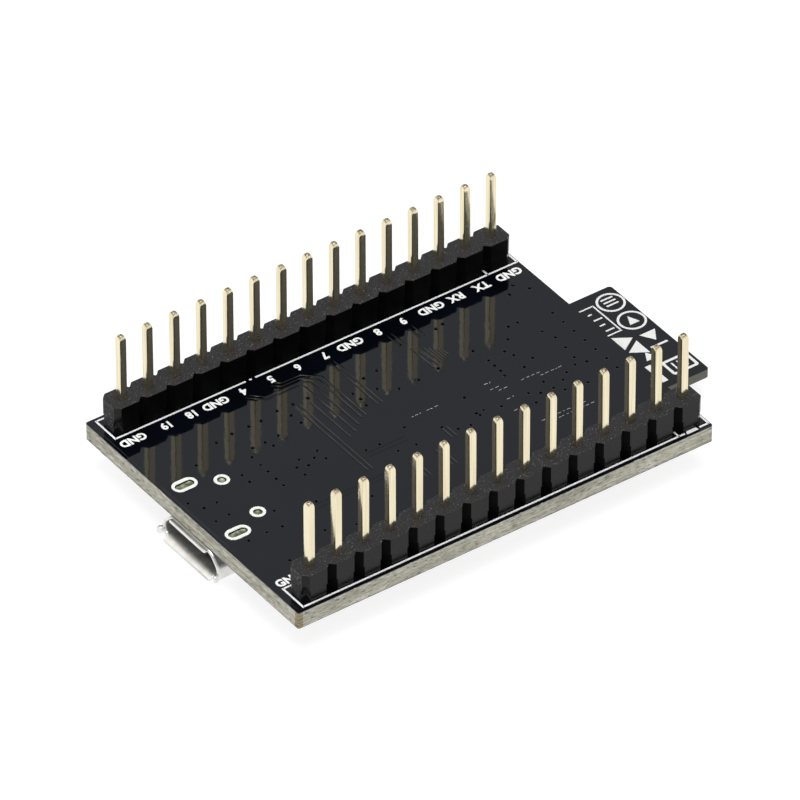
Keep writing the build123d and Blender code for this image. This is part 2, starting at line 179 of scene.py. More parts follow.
def islands(node):
    """The separate solids of a CAD node, each as a list of its points in millimetres."""
    bm = cad_mesh(node, flat=0.0)
    left, found = set(bm.verts), []
    while left:
        todo, group = [left.pop()], []
        while todo:
            vert = todo.pop()
            group.append(vert.co.copy())
            for edge in vert.link_edges:
                other = edge.other_vert(vert)
                if other in left:
                    left.discard(other)
                    todo.append(other)
        found.append(group)
    bm.free()
    return sorted(found, key=lambda points: (min(p.x for p in points), min(p.y for p in points)))


def extent(points):
    """The (x0, x1, y0, y1) of some points."""
    xs, ys = [p.x for p in points], [p.y for p in points]
    return min(xs), max(xs), min(ys), max(ys)


def arc(cx, cy, r, start, end, steps):
    """Points of an arc, anticlockwise, both ends included. Angles are in degrees."""
    turns = [math.radians(start + (end - start) * i / steps) for i in range(steps + 1)]
    return [(cx + r * math.cos(t), cy + r * math.sin(t)) for t in turns]


def circle(cx, cy, r, steps=24):
    return arc(cx, cy, r, 0, 360, steps)[:-1]


def rounded(x0, x1, y0, y1, r, steps=4):
    """An anticlockwise rectangle with rounded corners."""
    corners = [(x1 - r, y1 - r, 0), (x0 + r, y1 - r, 90), (x0 + r, y0 + r, 180), (x1 - r, y0 + r, 270)]
    return [p for cx, cy, a in corners for p in arc(cx, cy, r, a, a + 90, steps)]


def stadium(cx, cy, length, width, steps=10):
    """An anticlockwise slot outline, long along X."""
    half, r = (length - width) / 2, width / 2
    return arc(cx + half, cy, r, -90, 90, steps) + arc(cx - half, cy, r, 90, 270, steps)


def inset(loop, distance):
    """An anticlockwise loop moved inwards, or outwards if the distance is negative."""
    moved = []
    for i, here in enumerate(loop):
        a, b, c = Vector(loop[i - 1]), Vector(here), Vector(loop[(i + 1) % len(loop)])
        first, second = (b - a).normalized(), (c - b).normalized()
        n0, n1 = Vector((-first.y, first.x)), Vector((-second.y, second.x))
        middle = (n0 + n1).normalized()
        moved.append(tuple(b + middle * distance / max(0.4, middle.dot(n0))))
    return moved


def ring_wall(bm, rings):
    """Join equal closed rings of vertices, one after another. Returns the new faces."""
    faces = []
    for a, b in zip(rings, rings[1:]):
        for i in range(len(a)):
            faces.append(bm.faces.new((a[i - 1], a[i], b[i], b[i - 1])))
    return faces


def ring_at(bm, loop, z):
    return [bm.verts.new((x, y, z)) for x, y in loop]


def cap(bm, rings):
    """Fill the flat area between an outer ring and the rings of its holes."""
    edges = [bm.edges.get((ring[i - 1], ring[i])) for ring in rings for i in range(len(ring))]
    bmesh.ops.triangle_fill(bm, use_beauty=True, edges=edges, normal=(0, 0, 1))


def plate(bm, outer, holes, z_from, z_to, edge):
    """A thin flat sheet whose rims at z_to are chamfered. All loops are anticlockwise."""
    rise = edge if z_to > z_from else -edge
    lows, highs = [], []
    for i, loop in enumerate([outer, *holes]):
        shrunk = inset(loop, edge if i == 0 else -edge)
        rings = [ring_at(bm, loop, z_from), ring_at(bm, loop, z_to - rise), ring_at(bm, shrunk, z_to)]
        ring_wall(bm, rings)
        lows.append(rings[0])
        highs.append(rings[-1])
    cap(bm, lows)
    cap(bm, highs)


def lathe(bm, x, y, profile, steps=16):
    """Turn a profile of (radius, height) points about an upright line. A radius of 0 closes it."""
    rings = [ring_at(bm, circle(x, y, r, steps), z) for r, z in profile if r > 0]
    faces = ring_wall(bm, rings)
    for end, ring in ((0, rings[0]), (-1, rings[-1])):
        if profile[end][0] == 0:
            tip = bm.verts.new((x, y, profile[end][1]))
            faces += [bm.faces.new((ring[i - 1], ring[i], tip)) for i in range(len(ring))]
    return faces


def track(bm, points, z, width=0.10, run=0.06, height=0.018, up=1):
    """A raised copper track under the mask: a low ridge with sloped sides along a path."""
    rows = []
    for i, here in enumerate(points):
        here = Vector(here)
        before = Vector(points[max(i - 1, 0)])
        after = Vector(points[min(i + 1, len(points) - 1)])
        first = (here - before).normalized() if i else (after - here).normalized()
        second = (after - here).normalized() if i < len(points) - 1 else first
        side = (Vector((-first.y, first.x)) + Vector((-second.y, second.x))).normalized()
        side /= max(0.6, side.dot(Vector((-first.y, first.x))))
        half = width / 2
        levels = [(-half - run, -0.01), (-half - run * 0.6, 0.3), (-half, 0.95), (half, 0.95)]
        levels += [(half + run * 0.6, 0.3), (half + run, -0.01)]
        rows.append([bm.verts.new((*(here + side * v), z + up * height * w)) for v, w in levels])
    pairs = [(a, b, i) for a, b in zip(rows, rows[1:]) for i in range(1, len(a))]
    return [bm.faces.new((a[i - 1], a[i], b[i], b[i - 1])) for a, b, i in pairs]


def bar(bm, x0, x1, y0, y1, z, up=1, t=SILK):
    """A flat printed bar."""
    plate(bm, [(x0, y0), (x1, y0), (x1, y1), (x0, y1)], [], z - up * 0.004, z + up * t, t * 0.4)


def lettering(bm, text, x, y, z, height, turn=0.0, under=False, bold=0.05):
    """Printed letters centred on a place. Turn is in degrees, as read from the side they face."""
    curve = bpy.data.curves.new("lettering", "FONT")
    curve.body = text
    curve.size = height / 0.71
    curve.offset = bold
    curve.extrude = SILK / 2
    curve.resolution_u = 3
    curve.space_character = 1.02
    holder = bpy.data.objects.new("lettering", curve)
    bpy.context.scene.collection.objects.link(holder)
    bpy.context.view_layer.update()
    mesh = bpy.data.meshes.new_from_object(holder.evaluated_get(bpy.context.evaluated_depsgraph_get()))
    x0, x1, y0, y1 = extent([v.co for v in mesh.vertices])
    size = height / (y1 - y0)
    centred = Matrix.Translation((-(x0 + x1) / 2, -(y0 + y1) / 2, 0))
    shift = Matrix.Diagonal((size * LETTER_SQUEEZE, size, 1, 1)) @ centred
    flip = Matrix.Rotation(math.pi, 4, "X") if under else Matrix.Identity(4)
    spin = Matrix.Rotation(math.radians(turn), 4, "Z")
    level = z - SILK / 2 + 0.004 if under else z + SILK / 2 - 0.004
    mesh.transform(Matrix.Translation((x, y, level)) @ flip @ spin @ shift)
    bm.from_mesh(mesh)
    bpy.data.objects.remove(holder)
    bpy.data.curves.remove(curve)
    bpy.data.meshes.remove(mesh)


# ---------------------------------------------------------------- materials

def finish_of(name, colour, roughness, metallic=0.0, ior=1.5, specular=0.5):
    """A material with one shader, ready for its patterns."""
    material = bpy.data.materials.new(name)
    material.use_nodes = True
    shader = shader_of(material)
    shader.inputs["Base Color"].default_value = (*colour, 1)
    shader.inputs["Roughness"].default_value = roughness
    shader.inputs["Metallic"].default_value = metallic
    shader.inputs["IOR"].default_value = ior
    shader.inputs["Specular IOR Level"].default_value = specular
    return material


def noise(material, size, stretch=(1, 1, 1), detail=2.0, seed=0.0):
    """Noise through the piece. Size is a feature's size in millimetres, stretch makes it longer."""
    tree = material.node_tree
    place = tree.nodes.new("ShaderNodeTexCoord")
    scale = tree.nodes.new("ShaderNodeMapping")
    scale.inputs["Scale"].default_value = [1 / (size * s * MM) for s in stretch]
    scale.inputs["Location"].default_value = (seed, seed * 0.7, seed * 0.3)
    pattern = tree.nodes.new("ShaderNodeTexNoise")
    pattern.inputs["Scale"].default_value = 1.0
    pattern.inputs["Detail"].default_value = detail
    tree.links.new(place.outputs["Object"], scale.inputs["Vector"])
    tree.links.new(scale.outputs["Vector"], pattern.inputs["Vector"])
    return pattern.outputs["Fac"]


def ramp_of(tree, pattern, stops):
    """A colour ramp on a pattern. Each stop is (place, colour)."""
    ramp = tree.nodes.new("ShaderNodeValToRGB")
    while len(ramp.color_ramp.elements) < len(stops):
        ramp.color_ramp.elements.new(0.5)
    for element, (place, colour) in zip(ramp.color_ramp.elements, stops):
        element.position = place
        element.color = (*colour, 1)
    tree.links.new(pattern, ramp.inputs["Fac"])
    return ramp.outputs["Color"]


def shader_of(material):
    return material.node_tree.nodes["Principled BSDF"]


def colour_by(material, size, stops, **pattern):
    """Colour the surface by noise."""
    tree = material.node_tree
    ramp = ramp_of(tree, noise(material, size, **pattern), stops)
    tree.links.new(ramp, shader_of(material).inputs["Base Color"])


def rough_by(material, size, low, high, **pattern):
    """Roughness between two values by noise."""
    tree = material.node_tree
    spread = tree.nodes.new("ShaderNodeMapRange")
    spread.inputs["From Min"].default_value = 0.3
    spread.inputs["From Max"].default_value = 0.7
    spread.inputs["To Min"].default_value = low
    spread.inputs["To Max"].default_value = high
    tree.links.new(noise(material, size, **pattern), spread.inputs["Value"])
    tree.links.new(spread.outputs["Result"], shader_of(material).inputs["Roughness"])


def bump_by(material, size, depth, **pattern):
    """Relief by noise, its depth in millimetres, over any relief that is there already."""
    tree = material.node_tree
    relief = tree.nodes.new("ShaderNodeBump")
    relief.inputs["Strength"].default_value = 1.0
    relief.inputs["Distance"].default_value = depth * MM
    normal = shader_of(material).inputs["Normal"]
    if normal.is_linked:
        tree.links.new(normal.links[0].from_socket, relief.inputs["Normal"])
    tree.links.new(noise(material, size, **pattern), relief.inputs["Height"])
    tree.links.new(relief.outputs["Normal"], normal)


def solder_mask():
    """Glossy black solder mask with a slightly wavy surface."""
    m = finish_of("solder_mask", (0.001, 0.0018, 0.0037), 0.05, ior=1.6)
    colour_by(m, 6.0, [(0.35, (0.0008, 0.0014, 0.0030)), (0.65, (0.0014, 0.0022, 0.0045))])
    shader_of(m).inputs["Specular Tint"].default_value = (0.94, 0.98, 1.05, 1)
    rough_by(m, 0.9, 0.03, 0.08, seed=2)
    bump_by(m, 1.3, 0.0042, detail=1)
    bump_by(m, 0.45, 0.0018, detail=1, seed=5)
    bump_by(m, 0.12, 0.00015, detail=1, seed=8)
    return m


def mask_gap_shade():
    """The mask over the gap beside a buried track, painted darker and duller than the rest as the shade of the
    groove where it sags.
    """
    m = finish_of("mask_gap_shade", (0.001, 0.0015, 0.003), 0.2, specular=0.35)
    colour_by(m, 0.5, [(0.4, (0.0008, 0.0012, 0.0025)), (0.6, (0.0015, 0.002, 0.004))], detail=3)
    return m


def tint_by(material, size, stops, **pattern):
    """Multiply the colour that is there already by noise."""
    tree = material.node_tree
    base = shader_of(material).inputs["Base Color"]
    blend = tree.nodes.new("ShaderNodeMix")
    blend.data_type, blend.blend_type = "RGBA", "MULTIPLY"
    blend.inputs["Factor"].default_value = 1.0
    tree.links.new(base.links[0].from_socket, blend.inputs["A"])
    tree.links.new(ramp_of(tree, noise(material, size, **pattern), stops), blend.inputs["B"])
    tree.links.new(blend.outputs["Result"], base)


def laminate_edge(name="laminate_edge", tint=(1, 1, 1)):
    """The routed edge of glass laminate: mottled resin, fibre ends, layers of cloth and stained patches."""
    m = finish_of(name, (0.35, 0.34, 0.28), 0.6)
    mottle = {"size": 0.16, "stretch": (3, 3, 1), "detail": 4}
    fibres = {"size": 0.085, "stretch": (7, 7, 1), "detail": 1, "seed": 9}
    resin = [(0.32, (0.30, 0.295, 0.235)), (0.5, (0.365, 0.36, 0.295)), (0.68, (0.43, 0.425, 0.36))]
    resin = [(place, [c * t for c, t in zip(colour, tint)]) for place, colour in resin]
    plain = (1, 1, 1)
    ends = [(0.34, (0.26, 0.25, 0.22)), (0.40, plain), (0.60, plain), (0.68, (1.35, 1.35, 1.35))]
    cloth = [(0.38, (0.80, 0.80, 0.79)), (0.52, plain), (0.64, (1.18, 1.18, 1.17))]
    stains = [(0.32, (0.84, 0.83, 0.79)), (0.62, (1.06, 1.06, 1.06))]
    colour_by(m, stops=resin, **mottle)
    tint_by(m, stops=ends, **fibres)
    tint_by(m, 0.24, cloth, stretch=(40, 40, 1), detail=1, seed=2)
    tint_by(m, 1.6, stains, stretch=(1, 1, 0.5), detail=3, seed=4)
    bump_by(m, depth=0.008, **mottle)
    bump_by(m, depth=0.02, **fibres)
    return m


def black_hole_shade():
    """Dull black painted shade for holes: the bottom of a via, the barrel walls of the plated holes and the
    solder's rim in them.
    """
    m = finish_of("black_hole_shade", (0.002, 0.002, 0.002), 0.9, specular=0.0)
    colour_by(m, 0.1, [(0.3, (0.001, 0.001, 0.001)), (0.7, (0.003, 0.003, 0.003))])
    return m


def housing_plastic():
    """Smooth moulded black plastic."""
    m = finish_of("housing_plastic", (0.0008, 0.0008, 0.0011), 0.26, specular=0.24)
    rough_by(m, 0.5, 0.21, 0.31)
    bump_by(m, 0.07, 0.0015, detail=2, seed=4)
    return m


def housing_groove_shade():
    """The plastic in the notches between segments and on the far housing's front, made dark and dull: painted
    shade in the notches, and on the front a painted stand-in for the dark board that the glossy plastic mirrors.
    """
    m = finish_of("housing_groove_shade", (0.0008, 0.0008, 0.001), 0.5, specular=0.04)
    bump_by(m, 0.08, 0.001, detail=2)
    return m


def housing_grain_sheen():
    """The same plastic where it is rough, on the gritty tops and snapped ends, painted lighter than the smooth
    sides and with bright specks: painted sheen and glints on the real grit.
    """
    m = finish_of("housing_grain_sheen", (0.014, 0.014, 0.016), 0.5, specular=0.28)
    dark = [(0.3, (0.005, 0.005, 0.006)), (0.5, (0.012, 0.012, 0.014)), (0.65, (0.026, 0.026, 0.029))]
    colour_by(m, 0.11, dark + [(0.73, (0.42, 0.42, 0.43))], detail=3)
    bump_by(m, 0.16, 0.035, detail=4, seed=2)
    return m


def gold_plating(name="gold_plating", colour=(0.82, 0.745, 0.545), drawn=(1, 1, 30)):
    """Pale gold on drawn square wire, with fine lines along it."""
    m = finish_of(name, colour, 0.14, metallic=1.0)
    r, g, b = colour
    tones = [(0.3, (r * 0.86, g * 0.84, b * 0.78)), (0.6, colour), (0.8, (r * 1.05, g * 1.05, b * 1.08))]
    colour_by(m, 0.2, tones, stretch=drawn, detail=3)
    rough_by(m, 0.12, 0.1, 0.22, stretch=drawn, detail=2, seed=1)
    bump_by(m, 0.06, 0.0009, stretch=drawn, detail=2, seed=3)
    bump_by(m, 0.8, 0.002, detail=1, seed=6)
    return m


def sheared_tip():
    """The blunt end of a pin, where the plating is thin, dull and stained."""
    m = finish_of("sheared_tip", (0.6, 0.54, 0.40), 0.4, metallic=1.0)
    stains = [(0.38, (0.16, 0.13, 0.07)), (0.5, (0.34, 0.30, 0.20)), (0.62, (0.52, 0.47, 0.34))]
    colour_by(m, 0.14, stains, detail=3)
    rough_by(m, 0.1, 0.32, 0.5, seed=2)
    bump_by(m, 0.12, 0.01, detail=3, seed=4)
    return m


def silkscreen(name="silkscreen", shade=0.9):
    """White epoxy ink, a little patchy."""
    m = finish_of(name, (shade,) * 3, 0.55)
    colour_by(m, 0.12, [(0.3, (shade * 0.87,) * 3), (0.5, (shade, shade, shade * 0.99))], detail=2)
    bump_by(m, 0.05, 0.003, detail=2, seed=2)
    return m


def metal(name, colour, roughness, wave=0.4, depth=0.006, grain=0.05, metallic=1.0):
    """A bare or tinned metal with a slightly uneven surface."""
    m = finish_of(name, colour, roughness, metallic=metallic)
    r, g, b = colour
    colour_by(m, wave * 1.5, [(0.35, (r * 0.88, g * 0.88, b * 0.87)), (0.65, colour)], detail=3)
    rough_by(m, wave, roughness * 0.7, roughness * 1.3, seed=2)
    bump_by(m, wave, depth, detail=2, seed=4)
    bump_by(m, grain, depth * 0.06, detail=1, seed=6)
    return m


def steel():
    """Nickel plated pressed steel with a satin surface and fine rolling lines."""
    m = finish_of("shell_steel", (0.78, 0.78, 0.76), 0.33, metallic=1.0)
    colour_by(m, 0.9, [(0.3, (0.68, 0.68, 0.66)), (0.6, (0.8, 0.8, 0.78))], detail=4)
    rough_by(m, 0.3, 0.28, 0.4, stretch=(6, 1, 1), seed=2)
    bump_by(m, 0.05, 0.0004, stretch=(12, 1, 1), detail=2, seed=4)
    bump_by(m, 0.7, 0.0015, detail=2, seed=5)
    return m


def moulded(name, colour, roughness=0.45, grain=0.08, depth=0.004, specular=0.4):
    """A moulded plastic or resin with a fine spark-eroded grain."""
    m = finish_of(name, colour, roughness, specular=specular)
    r, g, b = colour
    colour_by(m, 0.6, [(0.35, (r * 0.88, g * 0.88, b * 0.88)), (0.65, colour)], detail=2)
    rough_by(m, 0.4, roughness * 0.85, roughness * 1.15, seed=2)
    bump_by(m, grain, depth, detail=3, seed=4)
    return m


def fluxed_solder():
    """Dull solder under a thin yellowish green film of flux."""
    m = finish_of("fluxed_solder", (0.36, 0.38, 0.28), 0.42, metallic=0.5)
    film = [(0.36, (0.06, 0.075, 0.025)), (0.5, (0.16, 0.18, 0.10)), (0.62, (0.30, 0.32, 0.24))]
    colour_by(m, 0.4, film, detail=3)
    rough_by(m, 0.3, 0.32, 0.55, seed=3)
    bump_by(m, 0.4, 0.012, detail=2, seed=5)
    return m


def clear_lens():
    """Clear silicone over the LED dies."""
    m = finish_of("clear_lens", (0.93, 0.93, 0.86), 0.08, ior=1.42)
    shader_of(m).inputs["Transmission Weight"].default_value = 0.9
    bump_by(m, 0.6, 0.004, detail=1)
    return m


def make_materials():
    return {
        "mask": solder_mask(),
        "mask_gap_shade": mask_gap_shade(),
        "edge": laminate_edge(),
        "edge_brown": laminate_edge("laminate_edge_brown", (0.62, 0.52, 0.36)),
        "hole_shade": black_hole_shade(),
        "housing": housing_plastic(),
        "housing_rough_sheen": housing_grain_sheen(),
        "housing_groove_shade": housing_groove_shade(),
        "gold": gold_plating(),
        "tip": sheared_tip(),
        "contact": gold_plating("contact_gold", (0.85, 0.68, 0.36), (1, 1, 1)),
        "silk": silkscreen(),
        "module_silk": silkscreen("module_silkscreen", 0.7),
        "solder": metal("bright_solder", (0.8, 0.8, 0.79), 0.2, wave=0.5, depth=0.02),
        "flux": fluxed_solder(),
        "pad": metal("tinned_pad", (0.96, 0.96, 0.93), 0.45, wave=0.25, depth=0.004, metallic=0.3),
        "tinned": metal("tinned_lead", (0.8, 0.8, 0.79), 0.24, wave=0.3, depth=0.003),
        "steel": steel(),
        "can": metal("shield_can", (0.72, 0.72, 0.71), 0.3, wave=1.5, depth=0.004, grain=0.04),
        "switch": metal("switch_steel", (0.76, 0.76, 0.75), 0.24, wave=0.6, depth=0.003),
        "crystal": metal("crystal_lid", (0.75, 0.73, 0.68), 0.25),
        "resin": moulded("black_resin", (0.022, 0.022, 0.024), 0.5, 0.07, 0.006),
        "ceramic": moulded("capacitor_ceramic", (0.42, 0.29, 0.17), 0.5, 0.1, 0.003),
        "glaze": moulded("resistor_glaze", (0.02, 0.02, 0.024), 0.2, 0.3, 0.003, specular=0.5),
        "white": moulded("white_cup", (0.85, 0.85, 0.82), 0.4, 0.1, 0.003),
        "die": moulded("led_die", (0.35, 0.33, 0.2), 0.3, 0.05, 0.002),
        "button": moulded("button_plastic", (0.8, 0.78, 0.72), 0.42, 0.12, 0.004),
        "lens": clear_lens(),
        "module_edge": moulded("module_edge", (0.10, 0.10, 0.08), 0.6, 0.08, 0.01),
    }


# ---------------------------------------------------------------- main board

def board_loop():
    """The board's outline, split finely so that its cut edge can be uneven."""
    low, high = box("pcb")
    corners = rounded(low.x, high.x, low.y, high.y, BOARD_CORNER, 5)
    points = []
    for i, here in enumerate(corners):
        after = corners[(i + 1) % len(corners)]
        count = max(1, round(math.dist(here, after) / EDGE_STEP))
        points += [tuple(a + (b - a) * k / count for a, b in zip(here, after)) for k in range(count)]
    return points


def pin_places():
    return [(x, side * ROW_Y) for side in (-1, 1) for x in PIN_XS]


def usb_holes():
    """The (x, y, length, width) of the USB shell's slots and peg holes, read from the solder in them."""
    groups = {}
    for points in islands("usb_solder"):
        x0, x1, y0, y1 = extent(points)
        x, y = (x0 + x1) / 2, (y0 + y1) / 2
        groups.setdefault((round(x), round(y)), []).append((x, y, x1 - x0, y1 - y0))
    return [max(group, key=lambda hole: hole[2] * hole[3]) for group in groups.values()]


def via_places():
    """Where the plugged vias are: a stitched row by the antenna end, then groups by function."""
    places = [(17.78, 4.36 - i * 1.43) for i in range(7)] + [(18.17, 8.0)]
    supply = [(-13.2, 6.4), (-11.6, 6.6), (-10.0, 6.6), (-8.8, 6.6), (-7.1, 6.9), (-5.6, 6.85), (-4.2, 6.8)]
    supply += [(-6.5, 5.8), (-16.1, 5.0), (-11.3, 4.2), (-10.1, 4.2), (-8.8, 4.3), (-6.4, 4.6), (-9.8, 3.5)]
    bridge = [(-12.0, 3.3), (-12.0, 2.1), (-13.9, 1.9), (-12.0, 1.1), (-13.9, 0.9), (-9.2, 0.9), (-8.1, 0.4)]
    bridge += [(-7.4, 1.0), (-12.0, 0.0), (-9.9, 0.2), (-9.0, -0.1), (-9.9, -0.9), (-12.0, -1.0), (-7.4, -0.2)]
    bridge += [(-4.3, -1.2), (-3.0, -1.2), (-0.2, -0.6), (-2.3, -2.7), (-0.7, -2.9), (-11.1, -4.1), (-7.2, -6.1)]
    usb = [(-19.3, 1.5), (-18.6, 0.3), (-17.4, 0.3), (-18.8, -1.6), (-17.5, -1.5), (-18.1, -5.0), (-16.4, -5.0)]
    usb += [(-15.0, -5.1), (-14.4, -3.15), (-16.9, -8.8), (-12.6, -7.4), (-10.2, -8.2)]
    middle = [(-1.0, 5.2), (-0.9, 4.3), (-1.0, 3.4), (0.8, 6.3), (0.9, 4.6), (2.3, 3.6), (2.2, 6.5), (2.2, -2.3)]
    middle += [(3.1, -3.2), (4.2, -3.4), (5.4, -2.45), (6.1, -2.45), (5.5, -2.8), (7.5, -2.9), (5.8, -0.3)]
    middle += [(4.2, 3.6), (6.3, 3.9)]
    radio = [(5.6, 8.1), (9.1, 8.1), (9.9, 8.3), (9.8, 4.1), (10.1, 2.4), (10.1, 1.6), (10.1, 0.8), (10.0, 0.1)]
    radio += [(11.8, 2.6), (12.1, 1.8), (11.9, 0.1), (13.1, 0.65), (12.9, 3.7), (13.9, 5.0), (14.8, 5.0)]
    radio += [(15.7, 2.9), (16.1, 1.7), (16.0, 0.2), (15.8, -1.2), (15.3, -2.0), (14.2, -2.4), (13.4, -3.0)]
    radio += [(12.0, -2.3), (11.0, -3.3), (12.2, -3.4), (10.0, -4.1), (12.8, -4.1), (14.8, -4.4)]
    radio += [(16.3, -2.2), (16.4, 8.3), (17.3, 9.1), (10.2, -2.8)]
    return places + supply + bridge + usb + middle + radio


def make_core():
    """The laminate: an uneven routed edge, with the mask's thin dark line along its top and bottom."""
    bm = bmesh.new()
    outline = board_loop()
    top, low = -COPPER, UNDER + COPPER
    jitter = lambda spread: RANDOM.uniform(-spread, spread)
    levels = [(top, 0.004, 0), (top - MASK_EDGE, 0.008, 0.018), (-0.42, 0.014, 0), (-0.8, 0.012, 0)]
    levels += [(-1.18, 0.014, 0), (low + MASK_EDGE * 0.8, 0.008, 0.02), (low, 0.006, 0)]
    rings = []
    for z, wander, lift in levels:
        ring = []
        for (x, y), (ix, iy) in zip(outline, inset(outline, 1.0)):
            k = jitter(wander) + (0.0 if z in (top, low) else 0.006)
            ring.append(bm.verts.new((x + (ix - x) * k, y + (iy - y) * k, z + jitter(lift))))
        rings.append(ring)
    wall = ring_wall(bm, rings)
    count = len(outline)
    corner = Vector(box("pcb")[0].xy)
    for i, face in enumerate(wall):
        chipped = i < count and RANDOM.random() < 0.05
        scorched = (face.calc_center_median().xy - corner).length < 0.4
        face.material_index = (3 if scorched else 1) if chipped or count <= i < count * 5 else 0
    holes = [circle(x, y, 0.5, 20) for x, y in pin_places()]
    holes += [stadium(x, y, length, width) for x, y, length, width in usb_holes()]
    tops, lows = [rings[0]], [rings[-1]]
    for loop in holes:
        pair = [ring_at(bm, loop, top), ring_at(bm, loop, low)]
        for face in ring_wall(bm, pair):
            face.material_index = 2
        tops.append(pair[0])
        lows.append(pair[1])
    cap(bm, tops)
    cap(bm, lows)
    piece("board_laminate", bm, ["mask", "edge", "tinned", "edge_brown"], ["pcb"])


def via(bm, x, y, z, up=1):
    """A plugged via: the mask dips into it, down to a flat bottom painted black as the shade of the hole."""
    k = 1 + RANDOM.uniform(-0.08, 0.08)
    profile = [(0.215, -0.002), (0.205, 0.0015), (0.188, 0.0015)]
    profile += [(VIA_R, -0.0235), (0.11, -0.026), (0, -0.028)]
    faces = lathe(bm, x, y, [(r * k, z + up * h) for r, h in profile], VIA_SIDES)
    # The inner slope and the bottom take the black painted shade.
    for face in faces[3 * VIA_SIDES:]:
        face.material_index = 1


def make_mask(name, z, up):
    """The masked copper pour of one side, with an opening for every hole, pad ring and via."""
    bm = bmesh.new()
    outer = rounded(*around_node("pcb", -POUR_INSET), 0.3, 6)
    holes = [circle(x, y, 0.52, 20) for x, y in pin_places()]
    holes += [stadium(x, y, length + 0.1, width + 0.1) for x, y, length, width in usb_holes()]
    vias = via_places()
    holes += [circle(x, y, VIA_R + 0.025, 10) for x, y in vias]
    plate(bm, outer, holes, z - up * (COPPER + 0.005), z, 0.02)
    for x, y in vias:
        via(bm, x, y, z, up)
    piece(name, bm, ["mask", "hole_shade"])


def track_paths():
    """The copper tracks whose ridges show through the mask on the pin side."""
    paths = [[(x, 6.5), (x, -3.3)] for x in (-5.66, -5.23)]
    paths += [[(-4.34, 6.3), (-4.34, 0.9)]]
    paths += [[(-8.1, 9.7), (-6.9, 8.5), (-4.0, 8.5), (-3.6, 8.1), (-3.6, 1.2)]]
    paths += [[(-7.7, 9.8), (-6.8, 8.9), (-3.5, 8.9), (-2.9, 8.3), (-2.9, 1.8)]]
    paths += [[(-5.6, 9.8), (-5.0, 9.25), (-3.3, 9.25), (-2.19, 8.2), (-2.19, 2.4)]]
    paths += [[(-5.2, 10.0), (-4.7, 9.6), (-3.0, 9.6), (-1.75, 8.4), (-1.75, 2.4)]]
    paths += [[(x, 9.5), (x, 3.0)] for x in (-0.2, 0.22)]
    paths += [[(x, -2.4), (x, -3.8)] for x in (2.06, 2.48)]
    paths += [[(x, 9.7), (x, 8.0)] for x in (5.5, 5.95, 7.4, 7.86)]
    fan = enumerate((6.0, 6.5, 6.9, 7.15, 7.4, 7.65, 7.9))
    paths += [[(x, 7.2 - k * 0.25), (x + 0.05, 4.2 + k * 0.12)] for k, x in fan]
    paths += [[(x, -4.3), (x, -6.6)] for x in (-2.4, -2.0, 0.1, 0.5)]
    return paths


def short_track_glints():
    """Broken rows of short ridges under the radio module, between vias, where buried tracks glint."""
    rows = [(10.7, 12.4, -1.1), (12.3, 14.1, -1.5), (9.0, 13.4, -6.2), (10.3, 13.6, -6.65), (2.5, 3.5, 0.1)]
    rows += [(1.0, 1.9, 0.12), (8.0, 8.5, 0.1), (8.0, 8.9, -0.7), (8.5, 9.3, -1.15), (8.4, 9.0, -2.4)]
    rows += [(8.0, 8.4, -3.9)]
    paths = []
    for start, end, y in rows:
        x = start
        while x < end:
            length = RANDOM.uniform(0.10, 0.34)
            ends = (x, x + length)
            paths.append([(end_x, y + RANDOM.uniform(-0.02, 0.02)) for end_x in ends])
            x += length + RANDOM.uniform(0.1, 0.26)
    return paths


def make_tracks():
    bm = bmesh.new()
    for path in track_paths():
        track(bm, path, 0)
    count = len(bm.faces)
    # Thin flat strips in the dark dull mask: painted shade lines where the mask sags into the gaps beside buried
    # tracks.
    for start, end, edges in ((-4.5, -0.8, (-1.55, -2.0)), (-11.4, -4.2, (-4.4, -4.85))):
        for y in edges:
            bar(bm, start, end, y - GAP_HALF, y + GAP_HALF, 0, t=0.003)
    bm.faces.ensure_lookup_table()
    for face in bm.faces[count:]:
        face.material_index = 2
    # These ridges are made of bright tinned metal: painted glints of the buried tracks' edges.
    glints = []
    for path in short_track_glints():
        glints.extend(track(bm, path, 0, width=0.012, run=0.022, height=0.018))
    for face in glints:
        face.material_index = 1
    piece("board_tracks_top", bm, ["mask", "tinned", "mask_gap_shade"])
    bm = bmesh.new()
    for k in range(6):
        bus, far, near = 1.2 - k * 0.1, -10.5 + k * PITCH, -2.4 + k * PITCH
        track(bm, [(-4.2 + k * 0.4, bus), (0.2 + k * 0.4, bus), (4.2, 5.2 - k * 0.5)], UNDER, up=-1)
        track(bm, [(far, 11.0), (far, 9.9)], UNDER, up=-1)
        track(bm, [(near, -11.0), (near, -10.3), (-1.6 + k * 2.0, -9.5)], UNDER, up=-1)
    for k in range(2):
        track(bm, [(-14.4, -0.6 + k * 0.45), (-9.0, -0.6 + k * 0.45)], UNDER, up=-1)
    piece("board_tracks_under", bm, ["mask"])


